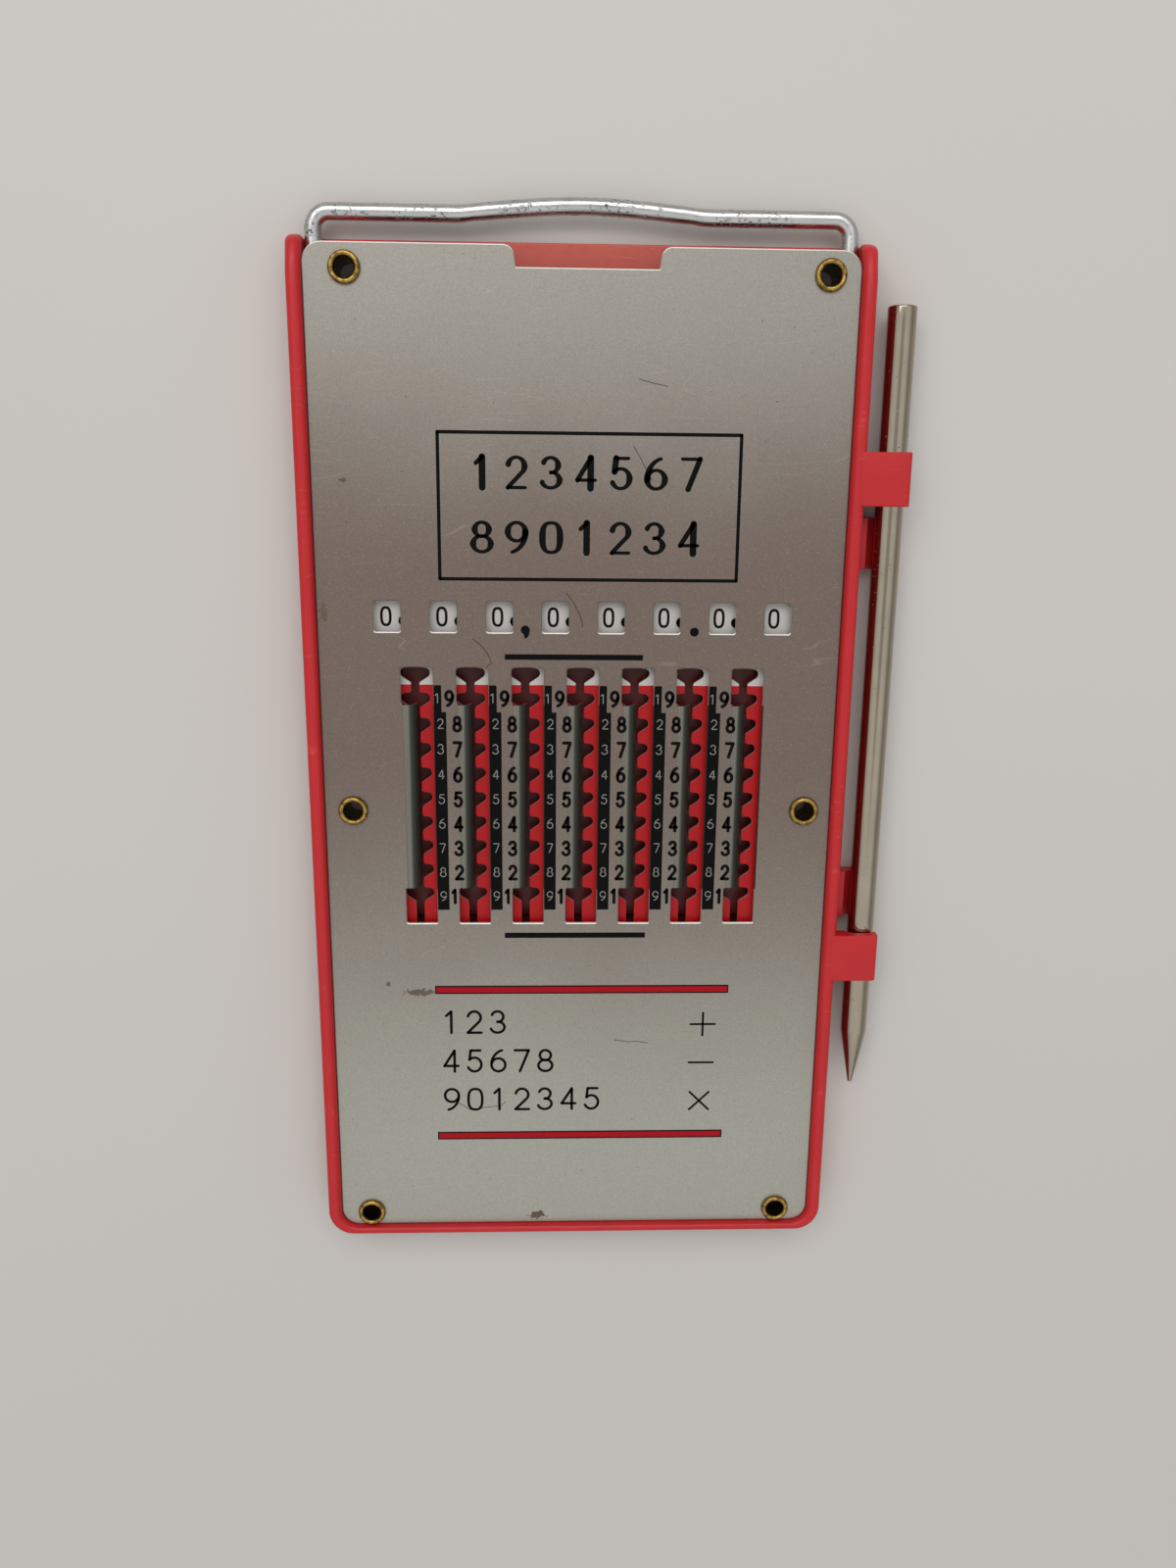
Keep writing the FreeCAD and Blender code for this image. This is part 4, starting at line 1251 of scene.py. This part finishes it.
@dataclass
class Strips:
    """The eight notched strips with their numerals."""

    count: int = 8
    pitch: float = 6.8
    half: float = 2.88
    under: float = 3.2
    top: float = 3.7
    low: float = -26.6
    high: float = 55.0
    first_notch: float = -15.035
    step: float = 3.175
    notches: int = 19
    notch_end: float = 0.63
    numeral_row: float = 20.45

    def notch(self, y: float, side: int) -> list[Triple]:
        """Return one notch's corners on the right or left edge, in turning order.

        The upper flank is level and runs into a round end, the lower flank slopes to the edge.
        """
        turn = np.radians(np.linspace(-62, 90, 9))
        x = self.half - 0.68
        radius = self.notch_end
        end = [(x - radius * math.cos(angle), y + radius * math.sin(angle), 0.0) for angle in turn]
        corners = [(self.half, y - 1.22, 0.28)] + end + [(self.half, y + 0.67, 0.28)]
        return corners if side > 0 else [(-x, y, r) for x, y, r in reversed(corners)]

    def strip(self, number: int) -> Shape:
        """Build one strip; the outermost edges of the set have no notches."""
        places = self.first_notch + self.step * np.arange(self.notches)
        right = [spot for y in places for spot in self.notch(y, 1)] if number < self.count else []
        left = [spot for y in places[::-1] for spot in self.notch(y, -1)] if number > 1 else []
        outline = rounded(
            [(-self.half, self.low, 0.2), (self.half, self.low, 0.2)] + right
            + [(self.half, self.high, 0.2), (-self.half, self.high, 0.2)] + left, 4)
        return pierced(outline, rim(self.top, self.under, 0.06, 0.06, 2))

    def build(self, palette: Palette) -> None:
        """Make each strip and its column of numerals 0 to 9."""
        for number in range(1, self.count + 1):
            x = (number - (self.count + 1) / 2) * self.pitch
            body = f"strip_{number}"
            make_piece(f"notched_strip_{number}", self.strip(number).moved(x=x), palette.enamel,
                       body, Slot.ENAMEL, (f"slider_{number}",))
            marks = []
            for figure in range(10):
                middle = (x + 0.05, self.numeral_row + self.step * figure)
                marks += figure_at(figure, middle, (1.4, 2.44), 0.33, self.top + 0.01)
            print_ink(f"strip_numerals_{number}", marks, palette.inks[Ink.BLACK], body, Slot.ENAMEL)


@dataclass
class Eyelets:
    """The six brass eyelets with rolled rears."""

    bore: float = 1.15
    barrel: float = 1.3
    flange: float = 1.85
    rounding: float = 0.03
    face: float = 5.0
    crest: float = 5.55
    seat: float = 0.5
    rear: float = 0.06

    def places(self) -> dict[str, Place]:
        """Return the centre of each eyelet by its node's name.

        A row of two is its level, half of the distance between them and its shift.
        """
        rows = {"top": (59.75, 27.7, 0.6), "middle": (-3.72, 28.45, 0.1),
                "bottom": (-60.6, 27.7, -0.165)}
        return {
            f"eyelet_{row}_{side}": (shift + sign * half, level)
            for row, (level, half, shift) in rows.items()
            for side, sign in (("left", -1), ("right", 1))
        }

    def profile(self) -> Array:
        """Return the closed section: a half-round flange, a barrel and a half-round roll."""
        middle = (self.bore + self.flange) / 2
        reach = (self.flange - self.bore) / 2
        brim = self.flange - self.rounding
        low, high = self.seat - 0.1, self.face + 0.12
        return np.concatenate([
            arc(middle, high, reach, self.crest - self.face - 0.12, 180, 0, 18),
            [[brim, self.face], [self.barrel, self.face],
             [self.barrel, self.seat], [brim, self.seat]],
            arc(middle, low, reach, low - self.rear, 0, -180, 14),
        ])

    def build(self, palette: Palette) -> None:
        """Turn every eyelet."""
        for name, (x, y) in self.places().items():
            make_piece(f"{name}_brass", turned(self.profile(), x, y), palette.brass, "housing",
                       Slot.BRASS, (name,))


@dataclass
class Bail:
    """The wire bail with its flattened kinks and coined ends."""

    radius: float = 0.95
    leg: float = 30.925
    level: float = 2.25
    head: float = 66.1
    bend: float = 1.9
    bow: float = 1.0
    bow_half: float = 15.0
    bow_settling: float = 2.5
    kink: float = 12.7
    kink_reach: float = 0.75
    leg_end: float = -58.3
    coin_half: float = 1.3
    coin_thick: float = 0.45
    coin_level: float = 2.8
    coin_top: float = -55.4
    coin_ramp: float = 0.9

    def route(self) -> Array:
        """Return the wire's middle line: legs, quarter bends, and a head bowed up in its middle."""
        start = self.head - self.bend
        down = straight((-self.leg, self.leg_end + 0.02), (-self.leg, self.coin_top),
                        (-self.leg, self.coin_top + self.coin_ramp), (-self.leg, start))[:-1]
        corner = arc(-self.leg + self.bend, start, self.bend, self.bend, 180, 90, 20)
        x = np.linspace(-self.leg + self.bend, 0, 90)[1:]
        share = np.clip((x + self.bow_half) / self.bow_half, 0, 1)
        rise = self.bow * (eased(share) * 0.35 + np.sin(share * math.pi / 2) * 0.65)
        rise = rise * eased((x + self.bow_half) / self.bow_settling)
        half = np.concatenate([down, corner, np.stack([x, self.head + rise], axis=1)])
        return np.concatenate([half, mirrored(half[:-1])])

    def build(self, palette: Palette) -> None:
        """Carry a round section along the route, pinched at the kinks, coined at the ends."""
        path = self.route()
        along = np.gradient(path, axis=0)
        along /= np.linalg.norm(along, axis=1, keepdims=True)
        square = np.stack([-along[:, 1], along[:, 0]], axis=1)
        coined = eased((self.coin_top + self.coin_ramp - path[:, 1]) / self.coin_ramp)
        from_kink = (np.abs(path[:, 0]) - self.kink) / self.kink_reach
        pinch = np.exp(-from_kink ** 2) * (path[:, 1] > self.head - 6)
        wide = self.radius * (1 - 0.05 * pinch) * (1 - coined) + self.coin_half * coined
        thick = self.radius * (1 - 0.1 * pinch) * (1 - coined) + self.coin_thick * coined
        lift = self.level * (1 - coined) + self.coin_level * coined
        inward = np.sign(path[:, 0]) * coined * (self.radius - self.coin_half)
        turn = np.linspace(0, 2 * math.pi, 32, endpoint=False)
        power = 1 - 0.45 * coined[:, None]
        round_x, round_z = signed_power(np.cos(turn), power), signed_power(np.sin(turn), power)
        middle = path + np.column_stack([inward, np.zeros(len(path))])
        rings = np.concatenate([
            middle[:, None] + square[:, None] * (wide[:, None] * round_x)[..., None],
            (lift[:, None] + thick[:, None] * round_z)[..., None],
        ], axis=-1)
        make_piece("bail_rod", lofted(rings), palette.wire, "bail", Slot.STEEL, ("bail_wire",),
                   crease=60.0)


@dataclass
class Stylus:
    """The turned stylus with a chamfered head and a blunt tip."""

    x: float = 37.4
    z: float = 3.0
    radius: float = 1.7
    chamfer: float = 0.25
    top: float = 56.87
    tip: float = -42.5
    taper: float = 7.6
    tip_radius: float = 0.3
    tip_round: float = 0.12
    axle: float = 0.02

    def build(self, palette: Palette) -> None:
        """Turn the profile of (radius, length) round the stylus's own axis."""
        chamfer, blunt = self.chamfer, self.tip_round
        neck = self.tip + self.taper
        shaft = np.linspace(self.top - chamfer, neck + 0.3, 60)[1:, None]
        profile = np.concatenate([
            [[self.axle, self.top]],
            arc(self.radius - chamfer, self.top - chamfer, chamfer, chamfer, 90, 0, 6),
            np.column_stack([np.full(len(shaft), self.radius), shaft]),
            [[self.radius - 0.02, neck]],
            arc(self.tip_radius - blunt, self.tip + blunt, blunt, blunt, 0, -90, 5),
            [[self.axle, self.tip]],
        ])
        angle = np.linspace(0, 2 * math.pi, 64, endpoint=False)
        rings = np.stack([
            self.x + profile[:, :1] * np.cos(angle),
            np.broadcast_to(profile[:, 1:], (len(profile), len(angle))),
            self.z + profile[:, :1] * np.sin(angle),
        ], axis=-1)
        make_piece("stylus_rod", lofted(rings), palette.nickel, "pen", Slot.NICKEL, ("stylus",),
                   crease=50.0)


@dataclass
class ResetParts:
    """The bar below the strips and its two rivets, which keep their CAD solids."""

    names: tuple[str, ...] = ("reset_bar", "reset_rivet_left", "reset_rivet_right")

    def build(self, palette: Palette, nodes: dict[str, bpy.types.Object]) -> None:
        """Dress the bar and the rivets in plain steel."""
        for name in self.names:
            mesh = nodes[name].data
            mesh.materials.clear()
            mesh.materials.append(palette.inner)
            LOG.info("%s: dressed", name)


@dataclass
class Studio:
    """Pale floor, soft light and the camera; the camera's place is in millimetres."""

    camera_at: Triple = (-4.146, 35.151, 149.312)
    right: Triple = (0.99936021, 0.01028063, 0.03366054)
    down: Triple = (0.00201085, -0.9711464, 0.23829059)
    ahead: Triple = (0.03514134, -0.23808756, -0.97059583)
    focal: float = 1206.54
    picture: float = 1600.0
    sensor: float = 24.0
    horizon: float = 0.42
    dome: float = 0.94
    overhead: float = 0.55
    sky: Rgb = (0.98, 0.98, 1.0)
    floor_half: float = 900.0
    floor_level: float = -0.02
    pale: Rgb = (198, 194, 188)
    paler: Rgb = (191, 187, 181)
    lamp_at: Triple = (-0.10, 0.48, 0.60)
    lamp_size: tuple[float, float] = (0.80, 0.40)
    lamp_power: float = 2.6

    def floor(self) -> None:
        """Lay the flat floor."""
        across = np.linspace(-self.floor_half, self.floor_half, 41)
        x, y = np.meshgrid(across, across)
        points = np.stack([x, y, np.full_like(x, self.floor_level)], axis=-1).reshape(-1, 3)
        mesh = bpy.data.meshes.new("floor")
        mesh.from_pydata((points * MM).tolist(), [], grid_faces(*x.shape, around=False))
        nodes = Nodes("pale_floor")
        cloud = nodes.blend(nodes.noise(160.0), self.pale, self.paler)
        mesh.materials.append(nodes.close({"Base Color": cloud, "Roughness": 0.75}))
        floor = bpy.data.objects.new("floor", mesh)
        bpy.context.scene.collection.objects.link(floor)

    def lamp(self) -> None:
        """Hang a soft rectangular lamp that faces the object."""
        light = bpy.data.lights.new("key", "AREA")
        light.shape = "RECTANGLE"
        light.size, light.size_y = self.lamp_size
        light.energy = self.lamp_power
        lamp = bpy.data.objects.new("key", light)
        lamp.location = self.lamp_at
        lamp.rotation_euler = (-Vector(self.lamp_at)).to_track_quat("-Z", "Y").to_euler()
        bpy.context.scene.collection.objects.link(lamp)

    def camera(self) -> None:
        """Set the camera at the photograph's viewing angle."""
        lens = bpy.data.cameras.new("camera")
        lens.sensor_fit = "VERTICAL"
        lens.sensor_height = self.sensor
        lens.lens = self.focal / self.picture * self.sensor
        lens.clip_start = 0.005
        camera = bpy.data.objects.new("camera", lens)
        axes = np.stack([self.right, -np.array(self.down), -np.array(self.ahead)], axis=1)
        place = Matrix.Translation(Vector(self.camera_at) * MM)
        camera.matrix_world = place @ Matrix(axes.tolist()).to_4x4()
        bpy.context.scene.collection.objects.link(camera)
        bpy.context.scene.camera = camera

    def sky_light(self) -> None:
        """Light the world by height: dim at the horizon, bright above, dimmer overhead."""
        world = bpy.data.worlds.new("studio")
        world.use_nodes = True
        tree = world.node_tree
        back = tree.nodes["Background"]
        back.inputs["Color"].default_value = (*self.sky, 1.0)
        place = tree.nodes.new("ShaderNodeTexCoord")
        height = tree.nodes.new("ShaderNodeSeparateXYZ")
        ramp = tree.nodes.new("ShaderNodeValToRGB")
        ramp.color_ramp.interpolation = "EASE"
        steps = ((0.3, self.horizon), (0.82, self.dome), (0.95, self.dome), (0.99, self.overhead))
        while len(ramp.color_ramp.elements) < len(steps):
            ramp.color_ramp.elements.new(0.5)
        for element, (spot, level) in zip(ramp.color_ramp.elements, steps):
            element.position = spot
            element.color = (level, level, level, 1.0)
        tree.links.new(place.outputs["Generated"], height.inputs[0])
        tree.links.new(height.outputs[2], ramp.inputs[0])
        tree.links.new(ramp.outputs[0], back.inputs["Strength"])
        bpy.context.scene.world = world

    def build(self) -> None:
        """Set up world, floor, lamp and camera."""
        self.sky_light()
        bpy.context.scene.view_settings.view_transform = "Standard"
        self.floor()
        self.lamp()
        self.camera()


def main() -> None:
    """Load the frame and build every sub-assembly."""
    logging.basicConfig(level=logging.INFO, format="%(message)s")
    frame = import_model()
    palette = Palette()
    eyelets = Eyelets()
    centres = list(eyelets.places().values())
    Tray().build(palette, centres)
    FrontSheet().build(palette, centres)
    Strips().build(palette)
    eyelets.build(palette)
    Bail().build(palette)
    ResetParts().build(palette, frame["nodes"])
    Stylus().build(palette)
    Studio().build()


if __name__ == "__main__":
    main()
